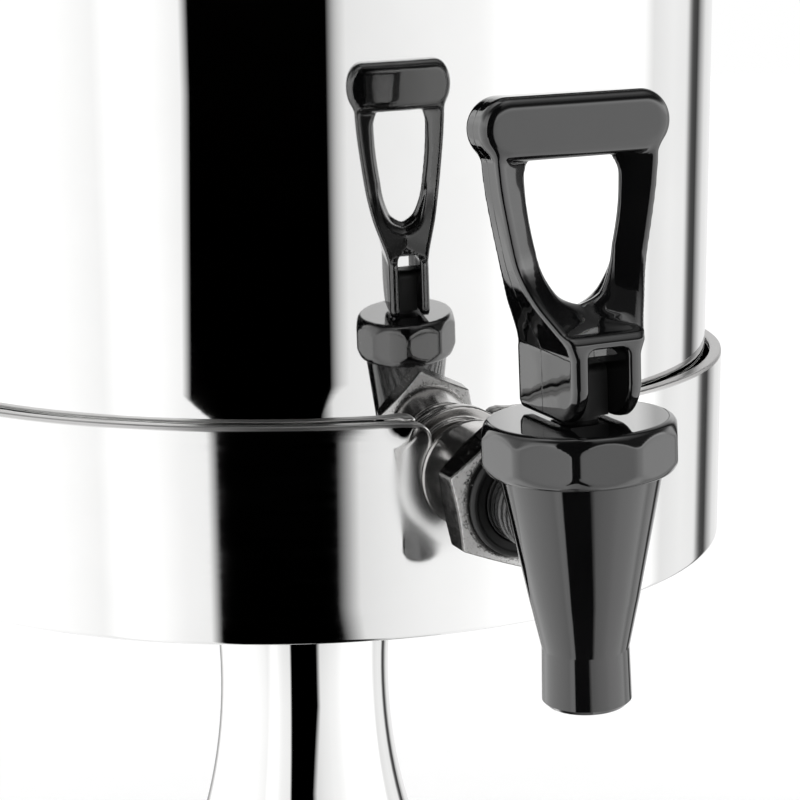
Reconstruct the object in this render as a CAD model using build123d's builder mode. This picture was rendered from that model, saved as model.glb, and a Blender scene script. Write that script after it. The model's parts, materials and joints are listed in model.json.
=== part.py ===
from build123d import *
from math import radians, cos, sin, sqrt
import os

# Milk dispenser on a pedestal, with a pull-forward tap.
# Millimetres, +Z up, the tap points to -Y. The origin is on the pedestal's axis,
# at the underside of the foot pad.

os.makedirs("parts", exist_ok=True)

# Sizes shared by many pieces
overrun = 1.0
touch_gap = 0.05
loose_gap = 0.3
running_gap = 0.08

# Base
pad_thickness = 2.0
base_radius = 118.0
base_sheet = 1.2
weight_thickness = 6.0
weight_gap = 1.8
weight_hub_radius = 17.0
weight_hub_height = 16.0
pad_inset = 0.5
rim_round = 0.8
rim_height = 2.83

# Pedestal and column, an hourglass whose one flare runs from the waist to the base's rim
band_bottom = 177.0
waist_radius = 21.3
waist_drop = 40.5
column_height = 105.0

# Clamp of the column
tie_radius = 4.0
tie_nut_flats = 13.0
tie_nut_height = 6.5
tie_washer_margin = 0.5
tie_washer_thickness = 1.6
tie_nut_recess_gap = 1.0
tie_tip_gap = 1.0

# Pedestal flange and support plate
plate_rise = 4.0
plate_thickness = 2.0
flange_overhang = 10.2
flange_thickness = 6.0
spigot_depth = 6.0
flange_screw_inset = 5.5
flange_screw_count = 4
flange_screw_radius = 2.5
flange_screw_head_radius = 4.4
flange_screw_head_height = 2.4
flange_screw_tip_gap = 1.0

# Band round the foot of the container
band_gap = 2.8
band_height = 45.0
band_wall = 1.2
notch_gap = 0.8
notch_sink = 2.7
notch_corner = 3.6

# Container
container_radius = 100.0
container_height = 190.0
container_wall = 1.0
bead_radius = 1.7
seat_ring_thickness = 4.0
seat_ring_inset = 10.0
seat_ring_width = 12.0

# Outlet fitting, along the shank axis
shank_rise = 34.5
saddle_flange_width = 2.5
saddle_flange_reach = 1.3
boss_radius = 10.0
boss_reach = 1.9
neck_radius = 6.6
neck_reach = 8.0
collar_wall = 3.6
flare_reach = 14.5
collar_reach = 21.7
collar_edge = 0.8
milk_bore_radius = 4.5
socket_reach = 12.5

# Lock nut and sealing washer
nut_flats = 25.7
nut_thickness = 9.4
nut_turn = 19.4
nut_bevel = 1.1
washer_width = 3.1
washer_thickness = 2.2

# Tap body
tap_projection = 57.0
tap_lean = 2.3
shank_radius = 7.9
shank_bore_radius = 5.0
thread_pitch = 2.31
thread_depth = 0.7
thread_count = 6
spout_top_radius = 14.6
knee_wall = 1.7
spout_foot_wall = 2.17
outlet_wall = 2.4
outlet_bore_radius = 5.8
outlet_lip = 0.8
outlet_drop = 31.9
spout_foot_drop = 21.3
spout_knee_drop = 12.0
seat_drop = 10.0
seat_bore_step = 0.6
plug_gap = 1.0
neck_wall = 1.7
neck_step = 1.0
neck_top_drop = 1.7

# Bonnet
bonnet_sides = 10
bonnet_rise = 11.5
bonnet_height = 9.5
bonnet_corner_radius = 18.07
bonnet_turn = 7.5
bonnet_bevel = 1.3
bonnet_edge = 0.7
bonnet_roof = 2.6

# Seat cup
seat_lap = 0.9
cup_plug_height = 5.0
cup_waist_step = 0.3
cup_wall = 1.2
cup_rim = 1.5

# Stem
stem_radius = 3.4
stem_foot_gap = 1.1
stem_foot_height = 2.0
stem_head_width = 7.4
stem_head_depth = 8.0
stem_head_gap = 0.8
stem_head_over_pivot = 2.9
stem_head_round = 1.6
pivot_over_bonnet = 7.0
pivot_radius = 1.5
pivot_end_depth = 1.5

# Handle
handle_lift_gap = 0.3
cheek_wall = 2.2
hub_front = 12.3
hub_back = 11.8
hub_roof = 1.5
hub_back_shoulder = 12.8
cam_radius = 6.0
heel_bevel = 2.4
cheek_gap = 0.3
slot_roof_over_pivot = 6.8
slot_round = 1.4
arm_front = 3.5
arm_back = 5.0
arm_root_rise = 30.0
arm_edge_round = 2.6
bar_end = 2.2
bar_height = 11.0
bar_depth = 9.2
bar_back_set = 0.9
bar_round = 1.8
bar_sink = 0.3
arm_into_bar = 3.2
loop_half_width = 15.8
arm_breadth = 4.7
bridge_height = 4.7
opening_height = 26.1
opening_corner = 3.2

# Lid
gasket_thickness = 1.5
lid_wall = 1.0
lid_overhang = 2.6
lid_rise = 17.0
lid_flat_margin = 4.0
lid_shoulder_inset = 8.0
lid_skirt_depth = 8.0
lid_skirt_gap = 0.6

# Ice tube, its cap and the knob
tube_radius = 25.0
tube_wall = 1.0
tube_bottom_gap = 24.0
tube_corner = 5.0
tube_flange_width = 7.0
tube_flange_thickness = 1.2
tube_seal_thickness = 1.5
tube_seal_width = 5.0
cap_height = 5.0
cap_edge = 1.6
cap_plug_depth = 12.0
cap_plug_gap = 1.2
plug_roof = 2.0
cap_seal_radius = 1.4
cap_seal_drop = 6.0
knob_radius = 14.0
knob_height = 26.0
knob_neck_radius = 7.5
knob_neck_height = 7.0
knob_bore_depth = 12.0
knob_screw_radius = 2.5
knob_screw_head_radius = 4.5
knob_screw_head_height = 2.6

# Drip tray and its arm
tray_radius = 49.0
tray_gap = 3.0
tray_wall = 1.2
tray_height = 16.0
ledge_width = 3.0
ledge_drop = 4.6
arm_width = 44.0
arm_thickness = 2.0
arm_inner_end = 42.0
arm_end_share = 0.76
arm_screw_radius = 2.0
arm_screw_head_radius = 3.8
arm_screw_inset = 9.0
arm_screw_length = 6.0
rail_width = 2.0
rail_foot_gap = 0.4
grille_thickness = 1.2
grille_hole_radius = 2.8
grille_rim = 7.9
grille_rings = 4
arm_pad_length = 30.0
arm_pad_inset = 2.0

# Heights that follow from the sizes above
base_floor = pad_thickness
waist_height = band_bottom - waist_drop
base_spread = base_radius - waist_radius
flare_rise = waist_height - base_floor - rim_height
flare_radius = (flare_rise**2 + base_spread**2) / (2 * base_spread)
inner_flare = flare_radius + base_sheet
flare_centre_radius = waist_radius + flare_radius
plate_bottom = band_bottom + plate_rise
plate_top = plate_bottom + plate_thickness
flange_bottom = plate_bottom - flange_thickness
band_top = band_bottom + band_height
container_bottom = plate_top + seat_ring_thickness
container_top = container_bottom + container_height
shank_height = band_bottom + shank_rise


def flare_reach_at(height, radius):
    """Distance of the column's flare from its axis at a height, for an arc of the given radius."""
    return flare_centre_radius - sqrt(radius**2 - (height - waist_height) ** 2)


def flare_point(height, radius):
    """Point of the column's section on the flare at a height."""
    return (flare_reach_at(height, radius), height)


def flare_height_at(reach, radius):
    """Height of the column's lower flare at a distance from its axis."""
    return waist_height - sqrt(radius**2 - (flare_centre_radius - reach) ** 2)


# Foot pad
pad_radius = base_radius - pad_inset
with BuildPart() as foot_pad:
    with BuildSketch(Plane.XY):
        Circle(pad_radius)
    extrude(amount=pad_thickness)
foot_pad.part.label = "foot_pad"
export_step(foot_pad.part, "parts/foot_pad.step")

# Pedestal: spun sheet from the seam with the column down to the rim
rim_inner = base_radius - base_sheet
seam = flange_bottom - column_height
outer_foot = (base_radius, flare_height_at(base_radius, flare_radius))
inner_foot = (rim_inner, flare_height_at(rim_inner, inner_flare))
half_seam = (seam + base_floor) / 2
with BuildPart() as pedestal:
    with BuildSketch(Plane.XZ) as pedestal_section:
        with BuildLine():
            ThreePointArc(flare_point(seam, flare_radius), flare_point(half_seam, flare_radius), outer_foot)
            Line(outer_foot, (base_radius, base_floor))
            Line((base_radius, base_floor), (rim_inner, base_floor))
            Line((rim_inner, base_floor), inner_foot)
            ThreePointArc(inner_foot, flare_point(half_seam, inner_flare), flare_point(seam, inner_flare))
            Line(flare_point(seam, inner_flare), flare_point(seam, flare_radius))
        make_face()
        fillet(pedestal_section.vertices().sort_by_distance(outer_foot)[0], radius=rim_round)
    revolve(axis=Axis.Z)
    # Slot in the rim that the tray's arm passes through
    with BuildSketch(Plane.XY.offset(base_floor - overrun)):
        with Locations((0, -base_radius)):
            Rectangle(arm_width + loose_gap + loose_gap, base_radius)
    extrude(amount=arm_thickness + loose_gap + overrun, mode=Mode.SUBTRACT)
pedestal.part.label = "pedestal"
export_step(pedestal.part, "parts/pedestal.step")

# Column: the sheet goes on through the waist up to the flange
outer_top = flare_point(flange_bottom, flare_radius)
inner_top = flare_point(flange_bottom, inner_flare)
with BuildPart() as column:
    with BuildSketch(Plane.XZ):
        with BuildLine():
            ThreePointArc(outer_top, (waist_radius, waist_height), flare_point(seam, flare_radius))
            Line(flare_point(seam, flare_radius), flare_point(seam, inner_flare))
            inner_waist = (waist_radius - base_sheet, waist_height)
            ThreePointArc(flare_point(seam, inner_flare), inner_waist, inner_top)
            Line(inner_top, outer_top)
        make_face()
    revolve(axis=Axis.Z)
column.part.label = "column"
export_step(column.part, "parts/column.step")

# Base weight: turned disc with a hub, a recess for the clamp's nut and a slot for the tray's arm
weight_top = base_floor + weight_thickness
weight_radius = flare_reach_at(weight_top, inner_flare) - weight_gap
tie_washer_radius = tie_nut_flats / sqrt(3) + tie_washer_margin
nut_recess_radius = tie_washer_radius + tie_nut_recess_gap
nut_recess_depth = tie_nut_recess_gap + tie_nut_height + tie_washer_thickness
with BuildPart() as base_weight:
    with BuildSketch(Plane.XY.offset(base_floor)):
        Circle(weight_radius)
    extrude(amount=weight_thickness)
    with BuildSketch(Plane.XY.offset(weight_top)):
        Circle(weight_hub_radius)
    extrude(amount=weight_hub_height)
    with BuildSketch(Plane.XY.offset(base_floor)):
        Circle(nut_recess_radius)
    extrude(amount=nut_recess_depth, mode=Mode.SUBTRACT)
    with BuildSketch(Plane.XY.offset(base_floor)):
        Circle(tie_radius + touch_gap)
    extrude(amount=weight_thickness + weight_hub_height, mode=Mode.SUBTRACT)
    with BuildSketch(Plane.XY.offset(base_floor)):
        with Locations((0, -arm_inner_end - weight_radius / 2)):
            Rectangle(arm_width + touch_gap + touch_gap, weight_radius)
    extrude(amount=arm_thickness, mode=Mode.SUBTRACT)
    arm_top = base_floor + arm_thickness
    arm_screw_y = -(arm_inner_end + weight_radius) / 2
    arm_screw_spacing = arm_width - arm_screw_inset - arm_screw_inset
    with BuildSketch(Plane.XY.offset(arm_top)):
        with Locations((0, arm_screw_y)):
            with GridLocations(arm_screw_spacing, 0, 2, 1):
                Circle(arm_screw_radius + touch_gap)
    extrude(amount=weight_thickness, mode=Mode.SUBTRACT)
base_weight.part.label = "base_weight"
export_step(base_weight.part, "parts/base_weight.step")

# Clamp of the column: rod, washer and nut
rod_bottom = base_floor + tie_nut_recess_gap
nut_bottom = rod_bottom
nut_top = nut_bottom + tie_nut_height
with BuildPart() as tie_washer:
    with BuildSketch(Plane.XY.offset(nut_top)):
        Circle(tie_washer_radius)
        Circle(tie_radius + touch_gap, mode=Mode.SUBTRACT)
    extrude(amount=tie_washer_thickness)
tie_washer.part.label = "tie_washer"
export_step(tie_washer.part, "parts/tie_washer.step")

with BuildPart() as tie_nut:
    with BuildSketch(Plane.XY.offset(nut_bottom)):
        RegularPolygon(tie_nut_flats / 2, 6, major_radius=False)
        Circle(tie_radius + touch_gap, mode=Mode.SUBTRACT)
    extrude(amount=tie_nut_height)
tie_nut.part.label = "tie_nut"
export_step(tie_nut.part, "parts/tie_nut.step")

rod_top = plate_bottom - tie_tip_gap
with BuildPart() as tie_rod:
    with BuildSketch(Plane.XY.offset(rod_bottom)):
        Circle(tie_radius)
    extrude(amount=rod_top - rod_bottom)
tie_rod.part.label = "tie_rod"
export_step(tie_rod.part, "parts/tie_rod.step")

# Pedestal flange with its spigot inside the column
flange_radius = flare_reach_at(flange_bottom, flare_radius) + flange_overhang
flange_screw_circle = flange_radius - flange_screw_inset
spigot_bottom = flange_bottom - spigot_depth
spigot_radius = flare_reach_at(spigot_bottom, inner_flare) - touch_gap
with BuildPart() as pedestal_flange:
    with BuildSketch(Plane.XY.offset(flange_bottom)):
        Circle(flange_radius)
    extrude(amount=flange_thickness)
    with BuildSketch(Plane.XY.offset(spigot_bottom)):
        Circle(spigot_radius)
    extrude(amount=spigot_depth)
    with BuildSketch(Plane.XY.offset(spigot_bottom)):
        Circle(tie_radius + touch_gap)
    extrude(amount=rod_top - spigot_bottom, mode=Mode.SUBTRACT)
    with BuildSketch(Plane.XY.offset(flange_bottom + flange_screw_tip_gap)):
        with PolarLocations(flange_screw_circle, flange_screw_count):
            Circle(flange_screw_radius + touch_gap)
    extrude(amount=flange_thickness, mode=Mode.SUBTRACT)
pedestal_flange.part.label = "pedestal_flange"
export_step(pedestal_flange.part, "parts/pedestal_flange.step")

# Support plate
band_inner = container_radius + band_gap
band_radius = band_inner + band_wall
plate_radius = band_inner - touch_gap
with BuildPart() as support_plate:
    with BuildSketch(Plane.XY.offset(plate_bottom)):
        Circle(plate_radius)
        with PolarLocations(flange_screw_circle, flange_screw_count):
            Circle(flange_screw_radius + touch_gap, mode=Mode.SUBTRACT)
    extrude(amount=plate_thickness)
support_plate.part.label = "support_plate"
export_step(support_plate.part, "parts/support_plate.step")

# Flange screws, pan heads on the plate
screw_tip = flange_bottom + flange_screw_tip_gap + touch_gap
with BuildPart() as flange_screws:
    with BuildSketch(Plane.XY.offset(screw_tip)):
        with PolarLocations(flange_screw_circle, flange_screw_count):
            Circle(flange_screw_radius)
    extrude(amount=plate_top - screw_tip)
    with BuildSketch(Plane.XY.offset(plate_top)):
        with PolarLocations(flange_screw_circle, flange_screw_count):
            Circle(flange_screw_head_radius)
    extrude(amount=flange_screw_head_height)
    fillet(flange_screws.edges().group_by(Axis.Z)[-1], radius=flange_screw_head_height / 2)
flange_screws.part.label = "flange_screws"
export_step(flange_screws.part, "parts/flange_screws.step")

# Band: a hoop with a hemmed top edge and a U notch at the front
notch_centre = shank_height - notch_sink
notch_half_width = neck_radius + notch_gap
with BuildPart() as support_band:
    with BuildSketch(Plane.XY.offset(band_bottom)):
        Circle(band_radius)
        Circle(band_inner, mode=Mode.SUBTRACT)
    extrude(amount=band_height)
    with BuildSketch(Plane.XZ.offset(band_radius + overrun)):
        with BuildLine():
            mouth = notch_half_width + notch_corner
            rim = band_top + overrun
            shoulder = band_top - notch_corner
            notch_round_start = (-notch_half_width, notch_centre)
            JernArc(start=notch_round_start, tangent=(0, -1), radius=notch_half_width, arc_size=180)
            Line((notch_half_width, notch_centre), (notch_half_width, shoulder))
            JernArc(start=(notch_half_width, shoulder), tangent=(0, 1), radius=notch_corner, arc_size=-90)
            Line((mouth, band_top), (mouth, rim))
            Line((mouth, rim), (-mouth, rim))
            Line((-mouth, rim), (-mouth, band_top))
            JernArc(start=(-mouth, band_top), tangent=(1, 0), radius=notch_corner, arc_size=-90)
            Line((-notch_half_width, shoulder), (-notch_half_width, notch_centre))
        make_face()
    extrude(amount=-band_radius, mode=Mode.SUBTRACT)
support_band.part.label = "support_band"
export_step(support_band.part, "parts/support_band.step")

# Seat ring under the container's flat floor
seat_ring_radius = container_radius - seat_ring_inset
with BuildPart() as seat_ring:
    with BuildSketch(Plane.XY.offset(plate_top)):
        Circle(seat_ring_radius)
        Circle(seat_ring_radius - seat_ring_width, mode=Mode.SUBTRACT)
    extrude(amount=seat_ring_thickness)
seat_ring.part.label = "seat_ring"
export_step(seat_ring.part, "parts/seat_ring.step")

# The shank's axis runs out to -Y. In its section plane X is the distance from the container's axis.
shank_axis = Axis((0, 0, shank_height), (0, -1, 0))
shank_section = Plane(origin=(0, 0, shank_height), x_dir=(0, -1, 0), z_dir=(-1, 0, 0))
shank_face = Plane(origin=(0, 0, shank_height), x_dir=(1, 0, 0), z_dir=(0, -1, 0))

# Container: plain wall with a rolled bead at the top
container_inner = container_radius - container_wall
bead_height = container_top - bead_radius
with BuildPart() as container:
    with BuildSketch(Plane.XY.offset(container_bottom)):
        Circle(container_radius)
    extrude(amount=container_height - bead_radius)
    with BuildSketch(Plane.XZ):
        with Locations((container_radius, bead_height)):
            Circle(bead_radius)
    revolve(axis=Axis.Z)
    with BuildSketch(Plane.XY.offset(container_bottom)):
        Circle(container_inner)
    extrude(amount=container_height, mode=Mode.SUBTRACT)
    with BuildSketch(shank_face):
        Circle(milk_bore_radius)
    extrude(amount=container_radius + overrun, mode=Mode.SUBTRACT)
container.part.label = "container"
export_step(container.part, "parts/container.step")

# Floor of the container, let into the foot of the wall
with BuildPart() as container_floor:
    with BuildSketch(Plane.XY.offset(container_bottom)):
        Circle(container_inner - touch_gap)
    extrude(amount=container_wall)
container_floor.part.label = "container_floor"
export_step(container_floor.part, "parts/container_floor.step")

# Outlet fitting: saddle flange, boss, neck for the notch, flared collar with the shank's socket
saddle_flange_radius = boss_radius + saddle_flange_width
collar_radius = shank_radius + collar_wall
with BuildPart() as outlet_fitting:
    with BuildSketch(shank_section):
        with BuildLine():
            back = container_radius - container_wall
            Polyline(
                (back, milk_bore_radius),
                (back, saddle_flange_radius),
                (container_radius + saddle_flange_reach, saddle_flange_radius),
                (container_radius + saddle_flange_reach, boss_radius),
                (container_radius + boss_reach, boss_radius),
                (container_radius + boss_reach, neck_radius),
                (container_radius + neck_reach, neck_radius),
                (container_radius + flare_reach, collar_radius),
                (container_radius + collar_reach - collar_edge, collar_radius),
                (container_radius + collar_reach, collar_radius - collar_edge),
                (container_radius + collar_reach, shank_radius + touch_gap),
                (container_radius + socket_reach, shank_radius + touch_gap),
                (container_radius + socket_reach, milk_bore_radius),
                close=True,
            )
        make_face()
    revolve(axis=shank_axis)
    with BuildSketch(Plane.XY.offset(container_bottom)):
        Circle(container_radius)
    extrude(amount=container_height, mode=Mode.SUBTRACT)
outlet_fitting.part.label = "outlet_fitting"
export_step(outlet_fitting.part, "parts/outlet_fitting.step")

# Lock nut against the collar
nut_back = container_radius + collar_reach
nut_front = nut_back + nut_thickness
nut_corner = nut_flats / sqrt(3)
with BuildPart() as lock_nut:
    with BuildSketch(shank_face.offset(nut_back)):
        RegularPolygon(nut_corner, 6, rotation=-nut_turn)
    extrude(amount=nut_thickness)
    with BuildSketch(shank_section):
        with BuildLine():
            Polyline(
                (nut_back, 0),
                (nut_back, nut_corner - nut_bevel),
                (nut_back + nut_bevel / 2, nut_corner),
                (nut_front - nut_bevel / 2, nut_corner),
                (nut_front, nut_corner - nut_bevel),
                (nut_front, 0),
                close=True,
            )
        make_face()
    revolve(axis=shank_axis, mode=Mode.INTERSECT)
    with BuildSketch(shank_face.offset(nut_back)):
        Circle(shank_radius + touch_gap)
    extrude(amount=nut_thickness, mode=Mode.SUBTRACT)
lock_nut.part.label = "lock_nut"
export_step(lock_nut.part, "parts/lock_nut.step")

# Sealing washer in front of the nut
washer_radius = shank_radius + washer_width
with BuildPart() as sealing_washer:
    with BuildSketch(shank_face.offset(nut_front)):
        Circle(washer_radius)
        Circle(shank_radius + touch_gap, mode=Mode.SUBTRACT)
    extrude(amount=washer_thickness)
    washer_rings = sealing_washer.edges().filter_by(GeomType.CIRCLE).group_by(SortBy.RADIUS)
    fillet(washer_rings[-1], radius=washer_thickness / 4)
sealing_washer.part.label = "sealing_washer"
export_step(sealing_washer.part, "parts/sealing_washer.step")

# The tap leans a little about the shank, as it was tightened. Its planes meet where its axis
# crosses the shank's: X to the side, Y up or back, and heights count from the shank.
tap_reach = container_radius + tap_projection
tap_origin = (0, -tap_reach, shank_height)
tap_side_way = (cos(radians(tap_lean)), 0, sin(radians(tap_lean)))
tap_up_way = (-sin(radians(tap_lean)), 0, cos(radians(tap_lean)))
tap_level = Plane(origin=tap_origin, x_dir=tap_side_way, z_dir=tap_up_way)
tap_front = Plane(origin=tap_origin, x_dir=tap_side_way, z_dir=(0, -1, 0))
tap_profile = Plane(origin=tap_origin, x_dir=(0, -1, 0), z_dir=(-tap_side_way[0], 0, -tap_side_way[2]))
tap_axis = Axis(tap_origin, tap_up_way)

# Tap body: tapered spout, chamber and threaded shank
body_shoulder = bonnet_rise - loose_gap
neck_top = bonnet_rise + bonnet_height - bonnet_roof - neck_top_drop
shank_end = container_radius + socket_reach + loose_gap
thread_start = nut_front + washer_thickness
outlet_radius = outlet_bore_radius + outlet_wall
spout_foot_radius = outlet_bore_radius + spout_foot_wall
seat_bore_radius = outlet_bore_radius + seat_bore_step
cup_plug_radius = seat_bore_radius + seat_lap
chamber_foot_radius = cup_plug_radius + plug_gap
spout_knee_radius = chamber_foot_radius + knee_wall
neck_thread_radius = spout_top_radius - neck_step
chamber_top_radius = neck_thread_radius - neck_wall
with BuildPart() as tap_body:
    with BuildSketch(shank_section):
        with BuildLine():
            ridge = shank_radius
            root = shank_radius - thread_depth
            teeth = [
                (thread_start + turn * thread_pitch + lead, reach)
                for turn in range(thread_count)
                for lead, reach in ((0, ridge), (thread_pitch / 2, root))
            ]
            ends = [(tap_reach, ridge), (tap_reach, 0)]
            Polyline((shank_end, 0), (shank_end, ridge), *teeth, *ends, close=True)
        make_face()
    revolve(axis=shank_axis)
    with BuildSketch(tap_front):
        with BuildLine():
            Polyline(
                (0, -outlet_drop),
                (outlet_radius - outlet_lip, -outlet_drop),
                (outlet_radius, outlet_lip - outlet_drop),
                (spout_foot_radius, -spout_foot_drop),
                (spout_knee_radius, -spout_knee_drop),
                (spout_top_radius, body_shoulder),
                (neck_thread_radius, body_shoulder),
                (neck_thread_radius, neck_top),
                (0, neck_top),
                close=True,
            )
        make_face()
    revolve(axis=tap_axis)
    with BuildSketch(tap_front):
        with BuildLine():
            Polyline(
                (0, -outlet_drop - overrun),
                (outlet_bore_radius, -outlet_drop - overrun),
                (outlet_bore_radius, -spout_foot_drop),
                (seat_bore_radius, -spout_knee_drop),
                (seat_bore_radius, -seat_drop - outlet_lip),
                (chamber_foot_radius, -seat_drop),
                (chamber_top_radius, body_shoulder),
                (chamber_top_radius, neck_top + overrun),
                (0, neck_top + overrun),
                close=True,
            )
        make_face()
    revolve(axis=tap_axis, mode=Mode.SUBTRACT)
    with BuildSketch(shank_face.offset(shank_end)):
        Circle(shank_bore_radius)
    extrude(amount=tap_reach - shank_end, mode=Mode.SUBTRACT)
tap_body.part.label = "tap_body"
export_step(tap_body.part, "parts/tap_body.step")

# Bonnet: ten-sided cap over the body's neck
bonnet_top = bonnet_rise + bonnet_height
with BuildPart() as bonnet:
    with BuildSketch(tap_level.offset(bonnet_rise)) as bonnet_outline:
        RegularPolygon(bonnet_corner_radius, bonnet_sides, rotation=bonnet_turn - 90)
        fillet(bonnet_outline.vertices(), radius=bonnet_edge)
    extrude(amount=bonnet_height)
    with BuildSketch(tap_front):
        with BuildLine():
            Polyline(
                (stem_radius + running_gap, bonnet_rise - overrun),
                (bonnet_corner_radius - bonnet_bevel, bonnet_rise - overrun),
                (bonnet_corner_radius - bonnet_bevel, bonnet_rise),
                (bonnet_corner_radius, bonnet_rise + bonnet_bevel),
                (bonnet_corner_radius, bonnet_top - bonnet_bevel),
                (bonnet_corner_radius - bonnet_bevel, bonnet_top),
                (stem_radius + running_gap, bonnet_top),
                close=True,
            )
        make_face()
    revolve(axis=tap_axis, mode=Mode.INTERSECT)
    with BuildSketch(tap_level.offset(bonnet_rise)):
        Circle(neck_thread_radius + touch_gap)
    extrude(amount=bonnet_height - bonnet_roof, mode=Mode.SUBTRACT)
bonnet.part.label = "bonnet"
export_step(bonnet.part, "parts/bonnet.step")

# Seat cup: soft bell, its rim clamped under the bonnet's roof and its plug on the seat
bonnet_ceiling = bonnet_top - bonnet_roof
cup_foot = -seat_drop + outlet_lip
cup_plug_top = cup_foot + cup_plug_height
cup_rim_bottom = bonnet_ceiling - cup_rim
cup_top_radius = chamber_top_radius - loose_gap
cup_waist_radius = cup_plug_radius + cup_waist_step
with BuildPart() as seat_cup:
    with BuildSketch(tap_front):
        with BuildLine():
            Polyline(
                (0, cup_foot),
                (cup_plug_radius, cup_foot),
                (cup_plug_radius, cup_plug_top),
                (cup_waist_radius, body_shoulder / 2),
                (cup_top_radius, cup_rim_bottom - cup_rim),
                (cup_top_radius, cup_rim_bottom),
                (neck_thread_radius - touch_gap, cup_rim_bottom),
                (neck_thread_radius - touch_gap, bonnet_ceiling - touch_gap),
                (cup_top_radius - cup_wall, bonnet_ceiling - touch_gap),
                (cup_top_radius - cup_wall, cup_rim_bottom - cup_rim),
                (cup_waist_radius - cup_wall, body_shoulder / 2),
                (cup_plug_radius - cup_wall, cup_plug_top),
                (cup_plug_radius - cup_wall, cup_plug_top - stem_foot_height - loose_gap),
                (0, cup_plug_top - stem_foot_height - loose_gap),
                close=True,
            )
        make_face()
    revolve(axis=tap_axis)
seat_cup.part.label = "seat_cup"
export_step(seat_cup.part, "parts/seat_cup.step")

# Stem: foot in the cup, rod through the bonnet, flat head in the handle's fork
pivot_rise = bonnet_top + pivot_over_bonnet
stem_head_bottom = bonnet_top + stem_head_gap
stem_head_top = pivot_rise + stem_head_over_pivot
stem_foot_radius = cup_plug_radius - cup_wall - stem_foot_gap
with BuildPart() as stem:
    with BuildSketch(tap_level.offset(cup_plug_top - stem_foot_height)):
        Circle(stem_foot_radius)
    extrude(amount=stem_foot_height)
    with BuildSketch(tap_level.offset(cup_plug_top)):
        Circle(stem_radius)
    extrude(amount=stem_head_bottom - cup_plug_top)
    with BuildSketch(tap_profile) as stem_head:
        with Locations((0, (stem_head_bottom + stem_head_top) / 2)):
            Rectangle(stem_head_depth, stem_head_top - stem_head_bottom)
        fillet(stem_head.vertices().group_by(Axis.Y)[-1], radius=stem_head_round)
    extrude(amount=stem_head_width / 2, both=True)
    with BuildSketch(tap_profile):
        with Locations((0, pivot_rise)):
            Circle(pivot_radius + running_gap)
    extrude(amount=stem_head_width, both=True, mode=Mode.SUBTRACT)
stem.part.label = "stem"
export_step(stem.part, "parts/stem.step")

# Pivot pin, blind at both ends in the fork's cheeks
slot_width = stem_head_width + cheek_gap + cheek_gap
pin_half = slot_width / 2 + pivot_end_depth
with BuildPart() as pivot_pin:
    with BuildSketch(tap_profile):
        with Locations((0, pivot_rise)):
            Circle(pivot_radius)
    extrude(amount=pin_half, both=True)
pivot_pin.part.label = "pivot_pin"
export_step(pivot_pin.part, "parts/pivot_pin.step")

# Handle: crossbar on two arms that meet in a forked hub, whose front foot is the cam.
# The loop is the outline seen from the front, cut to the outline seen from the side.
handle_foot = bonnet_top + handle_lift_gap
slot_roof = pivot_rise + slot_roof_over_pivot
hub_top = slot_roof + hub_roof
opening_bottom = hub_top + bridge_height
opening_top = opening_bottom + opening_height
loop_top = opening_top + arm_into_bar
loop_height = loop_top - handle_foot
bar_middle = opening_top - bar_sink + bar_height / 2
hub_half = slot_width / 2 + cheek_wall
opening_half_width = loop_half_width - arm_breadth
arm_height_shares = (1.0, 0.851, 0.751, 0.598, 0.514, 0.422, 0.361)
arm_width_shares = (1.0, 0.962, 0.918, 0.829, 0.76, 0.65, 0.52)
arm_edge = [
    (loop_half_width * wide, handle_foot + loop_height * high)
    for high, wide in zip(arm_height_shares, arm_width_shares)
]
opening_height_shares = (0.67, 0.5, 0.326, 0.172, 0.069)
opening_width_shares = (0.973, 0.9, 0.81, 0.66, 0.45)
opening_edge = [
    (opening_half_width * wide, opening_bottom + opening_height * high)
    for high, wide in zip(opening_height_shares, opening_width_shares)
]

# The bar by itself, with all its edges rounded
with BuildPart() as crossbar:
    with BuildSketch(tap_front.offset(-bar_back_set)):
        with Locations((0, bar_middle)):
            SlotOverall((loop_half_width + bar_end) * 2, bar_height)
    extrude(amount=bar_depth / 2, both=True)
    fillet(crossbar.faces().filter_by(GeomType.PLANE).sort_by(Axis.Y)[0].edges(), radius=bar_round)
    fillet(crossbar.faces().filter_by(GeomType.PLANE).sort_by(Axis.Y)[-1].edges(), radius=bar_round)

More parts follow.
